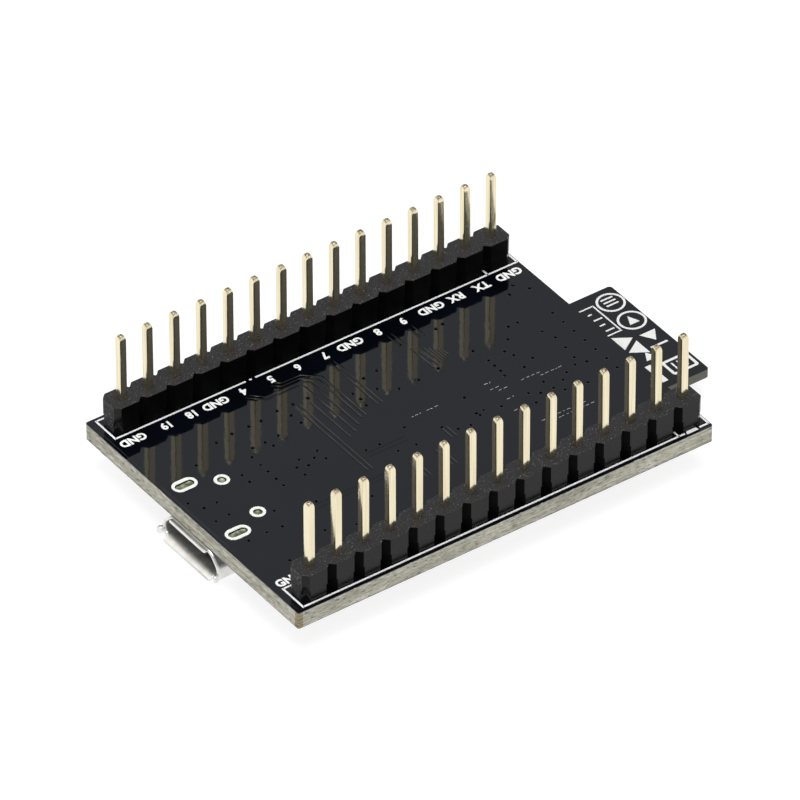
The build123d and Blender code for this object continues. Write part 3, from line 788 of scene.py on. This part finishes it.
def make_rings():
    """The plated rings, with their barrels, round the slots and peg holes; the barrel walls are painted black as
    the shade inside the holes.
    """
    bm = bmesh.new()
    for x, y, length, width in usb_holes():
        slot = length > width * 1.3
        reach = (0.265, 0.355) if slot else (0.29, 0.29)
        shape = lambda grow: stadium(x, y, length + 2 * grow * reach[0], width + 2 * grow * reach[1], 12)
        upper = [(1.0, -0.01), (0.9, 0.022), (0.5, 0.038), (0.14, 0.026), (0.0, -0.03), (-0.06, -0.2)]
        lower = [(-0.06, 0.1), (0.0, 0.03), (0.14, -0.03), (0.5, -0.04), (0.9, -0.025), (1.0, 0.01)]
        levels = upper + [(grow, UNDER + z) for grow, z in lower]
        rings = [ring_at(bm, shape(grow), z) for grow, z in levels]
        wall = ring_wall(bm, rings)
        # The barrel walls take the black painted shade.
        for face in wall[4 * len(rings[0]):6 * len(rings[0])]:
            face.material_index = 1
    piece("usb_hole_rings", bm, ["pad", "hole_shade"])


# ---------------------------------------------------------------- printing on the board

FAR_NAMES = "GND 19 18 GND 4 5 6 7 GND 8 9 GND RX TX GND".split()
FAR_XS = [-18.3, -15.2, -12.8, -10.46, -7.8, -5.18, -2.59, -0.05, 2.43, 5.12, 7.55, 10.3, 12.7, 15.2, 17.9]
NEAR_NAMES = "GND 5V 5V GND 10 1 0 GND RST GND 3 2 3V3 3V3 GND".split()


def header_box(bm, side, z, up, gaps):
    """The printed box round one header, with its divider and the gaps in its inner line."""
    left, right, line = -19.34, 19.38, SILK_LINE
    outer, inner = side * (ROW_Y + SILK_HALF), side * (ROW_Y - SILK_HALF)
    half = line / 2
    for x in (left, right, 16.5):
        y0, y1 = sorted((outer, inner))
        bar(bm, x - half, x + half, y0 - half, y1 + half, z, up)
    for y, breaks in ((outer, gaps[0]), (inner, gaps[1])):
        stops = [left, *breaks, right]
        for x0, x1 in zip(stops[::2], stops[1::2]):
            bar(bm, x0, x1, y - half, y + half, z, up)


def pin_one_mark(bm, z, up):
    """A filled pointer on the near box's outer line."""
    x, y = 17.75, -(ROW_Y + SILK_HALF)
    plate(bm, arc(x, y - 0.18, 0.55, 0, 180, 8), [], z - up * 0.004, z + up * SILK, 0.008)


def make_print_top():
    bm = bmesh.new()
    header_box(bm, 1, 0, 1, ([], [-6.95, -6.62, -6.38, -6.05]))
    header_box(bm, -1, 0, 1, ([17.1, 18.5], []))
    pin_one_mark(bm, 0, 1)
    for x, text in zip(FAR_XS, FAR_NAMES):
        lettering(bm, text, x, 10.43, 0, LETTER_HEIGHT, turn=180)
    for x, text in zip([-18.3] + PIN_XS[1:], NEAR_NAMES):
        lettering(bm, text, x, -10.67, 0, LETTER_HEIGHT)
    piece("board_print_top", bm, ["silk"])


def outline_print(bm, x0, x1, y0, y1):
    """A printed outline round a part on the underside, open in the middle of two sides."""
    half, reach = OUTLINE_LINE / 2, (y1 - y0) * 0.22
    for y in (y0, y1):
        bar(bm, x0 - half, x1 + half, y - half, y + half, UNDER, -1)
    for x in (x0, x1):
        bar(bm, x - half, x + half, y0, y0 + reach, UNDER, -1)
        bar(bm, x - half, x + half, y1 - reach, y1, UNDER, -1)


def under_label(bm, text, x, y, height, turn=0):
    lettering(bm, text, x, y, UNDER, height, turn=turn, under=True, bold=0.02)


def make_print_under():
    bm = bmesh.new()
    for side, names in ((-1, NEAR_NAMES), (1, FAR_NAMES)):
        header_box(bm, side, UNDER, -1, ([], []))
        for x, text in zip(PIN_XS, names):
            under_label(bm, text, x, side * 10.9, 0.6)
    for node, margin in (("bridge_chip", 0.5), ("colour_led_body", 0.35), ("diode_body", 0.25)):
        outline_print(bm, *around_node(node, margin))
    for body in islands("transistor_bodies"):
        x0, x1, y0, y1 = extent(body)
        outline_print(bm, x0 - 0.2, x1 + 0.2, y0 - 0.2, y1 + 0.2)
    for node in ("boot_base", "reset_base"):
        x0, x1, y0, y1 = around_node(node, 0.3)
        half, middle = OUTLINE_LINE / 2, (y0 + y1) / 2
        for x in (x0, x1):
            bar(bm, x - half, x + half, middle - 1.0, middle + 1.0, UNDER, -1)
    under_label(bm, "BOOT", -12.6, -8.9, 0.8, turn=90)
    under_label(bm, "RST", -12.9, 8.9, 0.8, turn=90)
    low, high = box("bridge_chip")
    plate(bm, circle(low.x - 0.95, high.y + 0.3, 0.16, 16), [], UNDER + 0.004, UNDER - SILK, 0.008)
    piece("board_print_under", bm, ["silk"])


# ---------------------------------------------------------------- pin headers

def make_housing(name):
    """A header housing: smooth sides, gritty top, snapped rough ends and rounded edges."""
    node = f"header_housing_{name}"
    bm = cad_mesh(node)
    low, high = box(node)
    for face in bm.faces:
        centre, normal = face.calc_center_median(), face.normal
        # Top and end faces take the lighter speckled plastic, which paints in the sheen and glints of the grit.
        top = normal.z > 0.9 and centre.z > high.z - 0.01
        end = abs(normal.x) > 0.9 and (centre.x < low.x + 0.02 or centre.x > high.x - 0.02)
        # Notch faces, and the far housing's front, take the dark dull plastic: painted shade in the notches, and
        # on the front a painted stand-in for the dark board that the plastic mirrors.
        painted_dark = abs(normal.z) < 0.1 and 0.3 < abs(normal.x) < 0.9 and low.x + 0.5 < centre.x < high.x - 0.5
        painted_dark = painted_dark or (name == "far" and normal.y < -0.9)
        face.material_index = 1 if top or end else 2 if painted_dark else 0
    plastics = ["housing", "housing_rough_sheen", "housing_groove_shade"]
    piece(node + "_fine", bm, plastics, [node], bevel=0.03)
    bm = bmesh.new()
    for x, near in ((low.x, -1), (high.x, 1)):
        snapped_end(bm, x, near, low, high)
    piece(node + "_snapped_ends", bm, ["housing_rough_sheen"], sharp=60)


def snapped_end(bm, x, outward, low, high):
    """The torn skin where the strip was snapped from a longer one."""
    middle = (low.y + high.y) / 2
    half_y = (high.y - low.y) / 2 - 0.55
    grid, rows, columns = [], 16, 14
    for j in range(rows + 1):
        line = []
        for i in range(columns + 1):
            u, v = i / columns * 2 - 1, j / rows
            rim = min(1 - abs(u), v, 1 - v) * 6
            out = (0.015 + RANDOM.uniform(0, 0.075)) * min(1.0, rim) - 0.01
            line.append(bm.verts.new((x + outward * out, middle + u * half_y, 0.12 + v * (high.z - 0.24))))
        grid.append(line)
    for a, b in zip(grid, grid[1:]):
        for i in range(columns):
            bm.faces.new((a[i], a[i + 1], b[i + 1], b[i]))


def pin_sections(low, high):
    """The (height, half width, corner radius) of a pin from tip to tip: each tip is a small blunt dome."""
    dome = [(0.0, 0.10, 0.06), (0.03, 0.165, 0.09), (0.09, 0.225, 0.11), (0.18, 0.272, 0.10)]
    dome += [(0.30, 0.303, 0.07), (0.45, PIN_HALF, PIN_EDGE)]
    rise = [(low + z, half, r) for z, half, r in dome]
    return rise + [(high - z, half, r) for z, half, r in reversed(dome)]


def make_pins(name):
    """Fifteen square pins with rounded edges and blunt tips, each very slightly out of true."""
    node = f"header_pins_{name}"
    low, high = box(node)
    y = (low.y + high.y) / 2
    bm = bmesh.new()
    for x in PIN_XS:
        lean_x, lean_y = RANDOM.uniform(-PIN_LEAN, PIN_LEAN), RANDOM.uniform(-PIN_LEAN, PIN_LEAN)
        rings = []
        for z, half, r in pin_sections(low.z, high.z):
            px, py = x + lean_x * max(z, 0), y + lean_y * max(z, 0)
            rings.append(ring_at(bm, rounded(px - half, px + half, py - half, py + half, r, 3), z))
        wall = ring_wall(bm, rings)
        ends = [bm.faces.new(rings[0]), bm.faces.new(rings[-1])]
        count = len(rings[0]) * 2
        for face in ends + wall[:count] + wall[-count:]:
            face.material_index = 1
    piece(node + "_fine", bm, ["gold", "tip"], [node], sharp=60)


def make_header_solder(name):
    """Bright fillets that climb each pin under the board, no two quite the same."""
    node = f"header_solder_{name}"
    low, high = box(node)
    y = (low.y + high.y) / 2
    bm = bmesh.new()
    for x in PIN_XS:
        k, lean = 1 + RANDOM.uniform(-0.05, 0.05), RANDOM.uniform(-0.03, 0.03)
        barrel = [(0.0, -0.2), (0.45, -0.2), (0.5, -0.5), (0.5, UNDER)]
        cone = [(0.86, 0.005), (0.80, 0.06), (0.66, 0.17), (0.55, 0.33), (0.48, 0.52)]
        cone += [(0.45, 0.72 * k), (0.42, 0.83 * k), (0.3, 0.87 * k), (0.0, 0.88 * k)]
        lathe(bm, x + lean, y, barrel + [(r, UNDER - drop) for r, drop in cone], 24)
    piece(node + "_fine", bm, ["solder"], [node], sharp=50)


# ---------------------------------------------------------------- micro-USB receptacle

def sheet_strip(bm, line, thickness, half_width, centre_y, corner=0.25, flat=False):
    """A bent metal tab along its (x, z) middle line, or along an (x, y) line if flat, as a cheek."""
    sections = []
    for i, here in enumerate(line):
        here = Vector(here)
        a, b = Vector(line[max(i - 1, 0)]), Vector(line[min(i + 1, len(line) - 1)])
        along = (b - a).normalized()
        side = Vector((-along.y, along.x)) * thickness / 2
        left = (Vector(line[-1]) - here).length
        trim = corner - math.sqrt(max(0.0, corner**2 - max(0.0, corner - left) ** 2))
        half = half_width - trim
        ring = []
        for sign, w in ((1, -1), (1, 1), (-1, 1), (-1, -1)):
            p = here + side * sign
            across = centre_y + w * half
            ring.append(bm.verts.new((p.x, p.y, across) if flat else (p.x, across, p.y)))
        sections.append(ring)
    ring_wall(bm, sections)
    bm.faces.new(sections[0])
    bm.faces.new(sections[-1])


def curved(start, middle, end, steps=8):
    """Points of a smooth bend from start to end, pulled towards the middle."""
    a, b, c = Vector(start), Vector(middle), Vector(end)
    turns = [i / steps for i in range(steps + 1)]
    return [tuple(a * (1 - t) ** 2 + b * 2 * t * (1 - t) + c * t * t) for t in turns]


def shell_loop(centre_y, shrink):
    """The receptacle's rounded cross-section as (y, z) points, narrow side up."""
    right = [(USB_WIDE, USB_BOTTOM), (USB_WIDE, USB_SHOULDER), (USB_NARROW, USB_TOP)]
    left = [(-y, z) for y, z in reversed(right)]
    corners = left[-1:] + right + left[:-1]
    corners = inset(corners, shrink) if shrink else corners
    loop = []
    for i, here in enumerate(corners):
        p, a, b = Vector(here), Vector(corners[i - 1]), Vector(corners[(i + 1) % 6])
        u, v = (a - p).normalized(), (b - p).normalized()
        reach = min(USB_BEND - shrink * 0.7, 0.45 * min((a - p).length, (b - p).length))
        loop += [(q[0] + centre_y, q[1]) for q in curved(p + u * reach, p, p + v * reach, 6)]
    return loop


def make_usb():
    """The pressed shell with a rolled mouth, four flares, legs, pegs and a seam, and the solder in its slots and
    holes.
    """
    low, high = box("usb_shell")
    centre_y = (low.y + high.y) / 2
    front, back, wall, top, bottom = USB_FRONT, high.x, USB_WALL, USB_TOP, USB_BOTTOM
    bm = bmesh.new()
    rings = [(back, wall), (back, 0.03), (back - 0.03, 0.0), (front + 0.25, 0.0), (front + 0.03, 0.02)]
    rings += [(front - 0.03, 0.08), (front - 0.05, 0.14), (front - 0.03, 0.2), (front + 0.03, 0.26)]
    rings += [(front + 0.25, wall), (back, wall)]
    ring_wall(bm, [[bm.verts.new((x, y, z)) for y, z in shell_loop(centre_y, s)] for x, s in rings])
    bmesh.ops.remove_doubles(bm, verts=bm.verts, dist=0.0005)
    sheet = bottom + 0.2
    wide = curved((front + 0.6, sheet), (front - 0.08, sheet), (front - 0.5, bottom - 0.08), 12)
    sheet_strip(bm, [(front + 1.6, sheet)] + wide, 0.24, 3.12, centre_y, corner=0.22)
    narrow = curved((front + 0.1, top - 0.14), (front - 0.12, top - 0.14), (front - 0.38, top - 0.02), 6)
    sheet_strip(bm, narrow, 0.22, 2.42, centre_y, corner=0.16)
    for side in (-1, 1):
        y = centre_y + side * (USB_WIDE - USB_WALL / 2)
        flare = curved((front + 0.1, y), (front - 0.14, y), (front - 0.46, y + side * 0.28), 6)
        sheet_strip(bm, flare, 0.24, 0.3, bottom + 0.47, corner=0.14, flat=True)
    piece("usb_shell_fine", bm, ["steel"], ["usb_shell"], bevel=0.03, sharp=50)
    bm = bmesh.new()
    for side in (-1, 1):
        leg_outline(bm, centre_y + side * 3.66, -18.2, 0.5, -0.42, -3.0, 0.28)
        leg_outline(bm, centre_y + side * 2.44, -15.5, 0.22, -0.3, UNDER - 0.3, 0.3)
        x, y = -17.6, centre_y + side * 1.9
        frame_of = lambda half_x, half_y, r: rounded(x - half_x, x + half_x, y - half_y, y + half_y, r, 3)
        opening = frame_of(0.75, 0.22, 0.08)
        plate(bm, frame_of(0.9, 0.35, 0.12), [opening], bottom + 0.02, bottom - 0.025, 0.012)
        plate(bm, frame_of(0.73, 0.2, 0.08), [], bottom + 0.05, bottom - 0.01, 0.01)
    for k in range(24):
        x = front + 0.3 + k * (back - front - 0.5) / 24
        y = centre_y + 0.16 * math.copysign(1, math.sin(k * 1.05))
        bar(bm, x, x + 0.2, y - 0.015, y + 0.015, bottom, -1, t=0.008)
    piece("usb_shell_details", bm, ["steel"], bevel=0.02, sharp=50)
    make_usb_solder()


def leg_outline(bm, y, x, half, top, bottom, thickness):
    """A leg or peg: a flat tab that narrows to a rounded tip, upright in its hole."""
    side = [(x - half, bottom), (x + half, bottom)] + arc(x, top - half * 0.6, half * 0.92, 20, 160, 6)
    rings = [[bm.verts.new((px, y + w * thickness / 2, pz)) for px, pz in side] for w in (-1, 1)]
    ring_wall(bm, rings)
    for ring in rings:
        bm.faces.new(ring)


def make_usb_solder():
    """Solder that sinks in the middle of each slot and hole and climbs its leg, with a band of black painted
    shade round its rim where it meets the barrel.
    """
    bm = bmesh.new()
    for x, y, length, width in usb_holes():
        levels = [(0.0, -0.075), (-0.06, -0.12), (-0.11, -0.14), (-0.2, -0.17), (-0.28, -0.19)]
        grow = lambda g: stadium(x, y, max(0.08, length + 2 * g), max(0.06, width + 2 * g), 12)
        rings = [ring_at(bm, grow(0.0), UNDER - 0.02)]
        rings += [ring_at(bm, grow(g), z) for g, z in levels]
        wall = ring_wall(bm, rings)
        # The solder's outer band takes the black painted shade.
        for face in wall[len(rings[0]):2 * len(rings[0])]:
            face.material_index = 1
        cap(bm, [rings[0]])
        cap(bm, [rings[-1]])
        bulge = [(0.1, UNDER + 0.02), (0.06, UNDER - 0.1), (-0.05, UNDER - 0.22), (-0.2, UNDER - 0.3)]
        domes = [ring_at(bm, grow(g), z) for g, z in bulge]
        ring_wall(bm, domes)
        cap(bm, [domes[0]])
        cap(bm, [domes[-1]])
    piece("usb_solder_fine", bm, ["flux", "hole_shade"], ["usb_solder"], sharp=70)


# ---------------------------------------------------------------- radio module

def module_marks(bm, z):
    """Generic printed marks on the module's back: two rings, a frame, pointers and bars."""
    def shape(outer, holes=()):
        plate(bm, outer, list(holes), z - 0.004, z + SILK, 0.008)

    for y in (4.46, 1.64):
        shape(circle(23.58, y, 1.21, 40), [circle(23.58, y, 1.01, 40)])
    for k in range(3):
        bar(bm, 23.0, 24.15, 4.95 - k * 0.42, 5.12 - k * 0.42, z)
    shape([(23.1, 1.2), (24.05, 1.2), (23.58, 2.25)])
    bar(bm, 22.06, 22.2, 1.1, 4.9, z)
    for y in (1.1, 4.9):
        bar(bm, 20.8, 22.2, y - 0.07, y + 0.07, z)
    for k, height in enumerate((1.1, 0.7, 1.1, 0.5)):
        bar(bm, 21.05, 21.05 + height * 0.75, 1.6 + k * 0.8, 1.76 + k * 0.8, z)
    shape([(20.85, 0.75), (20.85, -1.15), (22.3, -0.2)])
    shape([(20.9, -1.6), (22.3, -0.7), (22.3, -2.5)])
    shape([(22.9, -0.3), (24.4, -0.3), (23.65, -1.5)])
    shape([(21.4, -3.3), (22.5, -3.3), (21.95, -2.3)])
    shape([(22.7, -2.0), (24.3, -2.0), (24.3, -2.2), (22.7, -2.2)])
    shape(rounded(22.1, 24.6, -6.0, -4.1, 0.25), [rounded(22.35, 24.35, -5.75, -4.35, 0.12)])
    for k in range(3):
        bar(bm, 22.75 + k * 0.52, 22.9 + k * 0.52, -5.5, -4.6, z)
    bar(bm, 20.8, 21.35, -6.2, -3.8, z)


def make_module():
    low, high = box("module_board")
    bm = cad_mesh("module_board")
    for face in bm.faces:
        face.material_index = 0 if abs(face.normal.z) > 0.5 else 1
    materials = ["mask", "module_edge"]
    piece("module_board_fine", bm, materials, ["module_board"], bevel=0.025, segments=1)
    bm = bmesh.new()
    module_marks(bm, high.z)
    piece("module_print", bm, ["module_silk"])
    bm = bmesh.new()
    for x, y in ((24.5, -0.54), (24.5, -2.65), (20.3, 5.6), (20.3, 2.9), (20.3, -4.9)):
        via(bm, x, y, high.z)
    for y in (-5.4, 0.2, 4.8):
        via(bm, 19.9, y, low.z, up=-1)
    piece("module_vias", bm, ["mask", "hole_shade"])
    make_module_solder()
    make_shield()


def make_module_solder():
    """A concave fillet from each plated half hole to the board."""
    bm = bmesh.new()
    profile = [(0.33, 0.01), (0.3, -0.05), (0.22, -0.13), (0.16, -0.28), (0.1, -0.42), (0, -0.46)]
    for points in islands("module_solder"):
        x0, x1, y0, y1 = extent(points)
        lathe(bm, (x0 + x1) / 2, (y0 + y1) / 2, [(r, UNDER + z) for r, z in profile], 14)
    piece("module_solder_fine", bm, ["solder"], ["module_solder"], sharp=60)


def make_shield():
    """The drawn can, with a shallow pressed panel and small vents."""
    low, high = box("module_shield")
    z = low.z
    bm = bmesh.new()
    panel = rounded(low.x + 1.1, high.x - 1.1, low.y + 1.1, high.y - 1.1, 0.5)
    plate(bm, panel, [inset(panel, 0.22)], z + 0.02, z - 0.02, 0.015)
    vent = [(0.2, z + 0.005), (0.17, z - 0.012), (0.12, z - 0.004), (0, z - 0.002)]
    for k in range(3):
        lathe(bm, low.x + 2.4 + k * 2.9, high.y - 0.62, vent, 16)
    piece("module_shield_panel", bm, ["can"])


# ---------------------------------------------------------------- parts under the board

# How far the solder climbs each kind of terminal
SOLDER_RISE = {
    "capacitor_caps": 0.42, "resistor_caps": 0.3, "power_led_terminals": 0.2, "diode_leads": 0.14,
    "regulator_leads": 0.2, "transistor_leads": 0.1, "colour_led_terminals": 0.16, "boot_terminals": 0.14,
    "reset_terminals": 0.14, "usb_contacts": 0.09,
}

# The CAD nodes that keep their own shape, by (material, slot), with the rounding of their edges
PLAIN_COPIES = {
    ("tinned", "tinned"): {
        "bridge_pads": 0.01, "diode_leads": 0.03, "regulator_leads": 0.05, "transistor_leads": 0.025,
        "colour_led_terminals": 0.03, "power_led_terminals": 0.03, "capacitor_caps": 0.07,
        "resistor_caps": 0.05, "boot_terminals": 0.03, "reset_terminals": 0.03,
    },
    ("resin", "black_resin"): {
        "usb_insulator": 0.03, "bridge_chip": 0.04, "regulator_body": 0.06, "diode_body": 0.05,
        "transistor_bodies": 0.04, "module_chip": 0.04, "boot_base": 0.04, "reset_base": 0.04,
    },
    ("ceramic", "capacitor_ceramic"): {"capacitor_bodies": 0.05, "module_passives": 0.03},
    ("glaze", "resistor_black"): {"resistor_bodies": 0.03},
    ("white", "led_white"): {"colour_led_body": 0.06, "power_led_base": 0.02},
    ("lens", "led_lens"): {"colour_led_lens": 0.02, "power_led_lens": 0.04},
    ("die", "led_die"): {"colour_led_dies": 0.01},
    ("crystal", "crystal_metal"): {"module_crystal": 0.05},
    ("switch", "switch_metal"): {"boot_cover": 0.04, "reset_cover": 0.04},
    ("can", "shield_metal"): {"module_shield": 0.05},
    ("contact", "contact_gold"): {"usb_contacts": 0.015, "module_pads": 0.02},
    ("mask", "antenna_copper"): {"module_antenna": 0.03},
}


def skirt(bm, x0, x1, y0, y1, reach, rise):
    """A concave skirt of solder round a terminal's foot."""
    rings = []
    levels = [(reach, -0.01), (reach * 0.92, 0.02), (reach * 0.5, rise * 0.28), (reach * 0.2, rise * 0.65)]
    for grow, drop in levels + [(0.012, rise)]:
        loop = rounded(x0 - grow, x1 + grow, y0 - grow, y1 + grow, 0.05 + grow * 0.7, 3)
        rings.append(ring_at(bm, loop, UNDER - drop))
    ring_wall(bm, rings)
    cap(bm, [rings[0]])
    cap(bm, [rings[-1]])


def make_pads_and_fillets():
    """Pads and solder under every terminal that stands on the board."""
    pads, fillets = bmesh.new(), bmesh.new()
    for node, rise in SOLDER_RISE.items():
        for points in islands(node):
            if max(p.z for p in points) < UNDER - 0.05:
                continue
            x0, x1, y0, y1 = extent([p for p in points if p.z > UNDER - 0.02])
            grow = 0.2 if rise > 0.12 else 0.1
            pad = rounded(x0 - grow, x1 + grow, y0 - grow, y1 + grow, 0.1, 3)
            plate(pads, pad, [], UNDER + 0.01, UNDER - 0.018, 0.01)
            skirt(fillets, x0, x1, y0, y1, grow * 0.8, rise)
    piece("part_pads", pads, ["pad"])
    piece("part_fillets", fillets, ["solder"], sharp=60)


def make_parts():
    for (material, slot), nodes in PLAIN_COPIES.items():
        for node, bevel in nodes.items():
            piece(node + "_fine", cad_mesh(node), [material], [node], bevel=bevel)
    make_pads_and_fillets()
    marks = bmesh.new()
    low, high = box("bridge_chip")
    dot = [(0.17, low.z + 0.01), (0.15, low.z - 0.006), (0.1, low.z - 0.001), (0, low.z)]
    lathe(marks, low.x + 0.45, high.y - 0.45, dot, 20)
    piece("chip_pin_dot", marks, ["resin"])
    marks = bmesh.new()
    low, high = box("diode_body")
    bar(marks, low.x + 0.16, high.x - 0.16, high.y - 0.62, high.y - 0.34, low.z, -1, t=0.01)
    piece("diode_band", marks, ["silk"])


def make_switch(name):
    """The moving button with a turned top, and its thin dome."""
    node = f"{name}_button"
    piece(node + "_fine", cad_mesh(node), ["button"], [node], bevel=0.05, body=node)
    low, high = box(f"{name}_dome")
    x, y = (low.x + high.x) / 2, (low.y + high.y) / 2
    rise, r, t = high.z - low.z, (high.x - low.x) / 2, 0.08
    outer = [(r * k, high.z - (rise - 0.005) * (1 - k * k)) for k in (1.0, 0.9, 0.75, 0.6, 0.45, 0.3, 0.15)]
    inner = [(a, min(high.z, b + t)) for a, b in reversed(outer[1:])]
    profile = [(0, high.z - rise + t)] + inner + outer + [(0, high.z - rise + 0.005)]
    bm = bmesh.new()
    lathe(bm, x, y, profile, 28)
    dome = piece(f"{name}_dome_fine", bm, ["switch"], [f"{name}_dome"], sharp=60)
    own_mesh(dome)


# ---------------------------------------------------------------- stage, light, camera

def make_floor():
    """A plain pale table top, gently lit from inside so that the underside isn't lost in shadow."""
    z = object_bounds()[0].z / MM - FLOOR_GAP
    bm = bmesh.new()
    plate(bm, circle(0, 0, FLOOR_R, 96), [], z - FLOOR_DEPTH, z, 4)
    material = finish_of("floor_white", (0.22, 0.22, 0.22), 0.7, specular=0.1)
    shader = shader_of(material)
    shader.inputs["Emission Color"].default_value = (1, 1, 1, 1)
    shader.inputs["Emission Strength"].default_value = 0.83
    mesh_object("floor", bm, [material])


def make_world():
    """Soft light from all round: bright near the horizon, dimmer higher up."""
    world = bpy.data.worlds.new("studio")
    bpy.context.scene.world = world
    world.use_nodes = True
    tree = world.node_tree
    place = tree.nodes.new("ShaderNodeTexCoord")
    split = tree.nodes.new("ShaderNodeSeparateXYZ")
    tree.links.new(place.outputs["Generated"], split.inputs["Vector"])
    levels = [(0.0, 0.95), (0.36, 0.92), (0.52, 0.39), (0.68, 0.37), (0.82, 0.28), (1.0, 0.3)]
    sky = ramp_of(tree, split.outputs["Z"], [(height, (light,) * 3) for height, light in levels])
    tree.links.new(sky, tree.nodes["Background"].inputs["Color"])


def softbox(name, towards, distance, size, radiance, colour=(1, 1, 1)):
    """A square area light, placed along a direction from the object and turned to face it."""
    data = bpy.data.lights.new(name, "AREA")
    data.color = colour
    data.shape = "SQUARE"
    data.size = size
    data.energy = radiance * math.pi * size**2
    lamp = bpy.data.objects.new(name, data)
    lamp.location = Vector(towards).normalized() * distance
    lamp.rotation_mode = "QUATERNION"
    lamp.rotation_quaternion = (-lamp.location).to_track_quat("-Z", "Y")
    bpy.context.scene.collection.objects.link(lamp)


def make_lights():
    """Three softboxes: one overhead, one high on the left behind the board, one on the right in front."""
    softbox("softbox_top", (-0.05, -0.08, 1.0), 1.0, 0.8, 4.6)
    softbox("softbox_left", (-0.32, 0.64, 0.70), 1.1, 0.75, 0.95, WARM)
    softbox("softbox_right", (0.455, -0.639, 0.62), 1.1, 0.5, 0.6, WARM)


def make_camera():
    data = bpy.data.cameras.new("camera")
    data.lens = LENS
    data.sensor_width = SENSOR
    data.clip_start, data.clip_end = 0.05, 20
    cam = bpy.data.objects.new("camera", data)
    eye, aim = Vector(EYE) * MM, Vector(AIM) * MM
    cam.rotation_mode = "QUATERNION"
    cam.location = eye
    roll = Quaternion((0, 0, 1), math.radians(ROLL))
    cam.rotation_quaternion = (aim - eye).to_track_quat("-Z", "Y") @ roll
    bpy.context.scene.collection.objects.link(cam)
    bpy.context.scene.camera = cam


def main():
    bpy.context.scene.view_settings.view_transform = "Standard"
    MATERIALS.update(make_materials())
    make_core()
    make_mask("board_mask_top", 0, 1)
    make_mask("board_mask_under", UNDER, -1)
    make_tracks()
    make_rings()
    make_print_top()
    make_print_under()
    for name in ("near", "far"):
        make_housing(name)
        make_pins(name)
        make_header_solder(name)
    make_usb()
    make_module()
    make_parts()
    for name in ("boot", "reset"):
        make_switch(name)
    make_floor()
    make_world()
    make_lights()
    make_camera()


main()
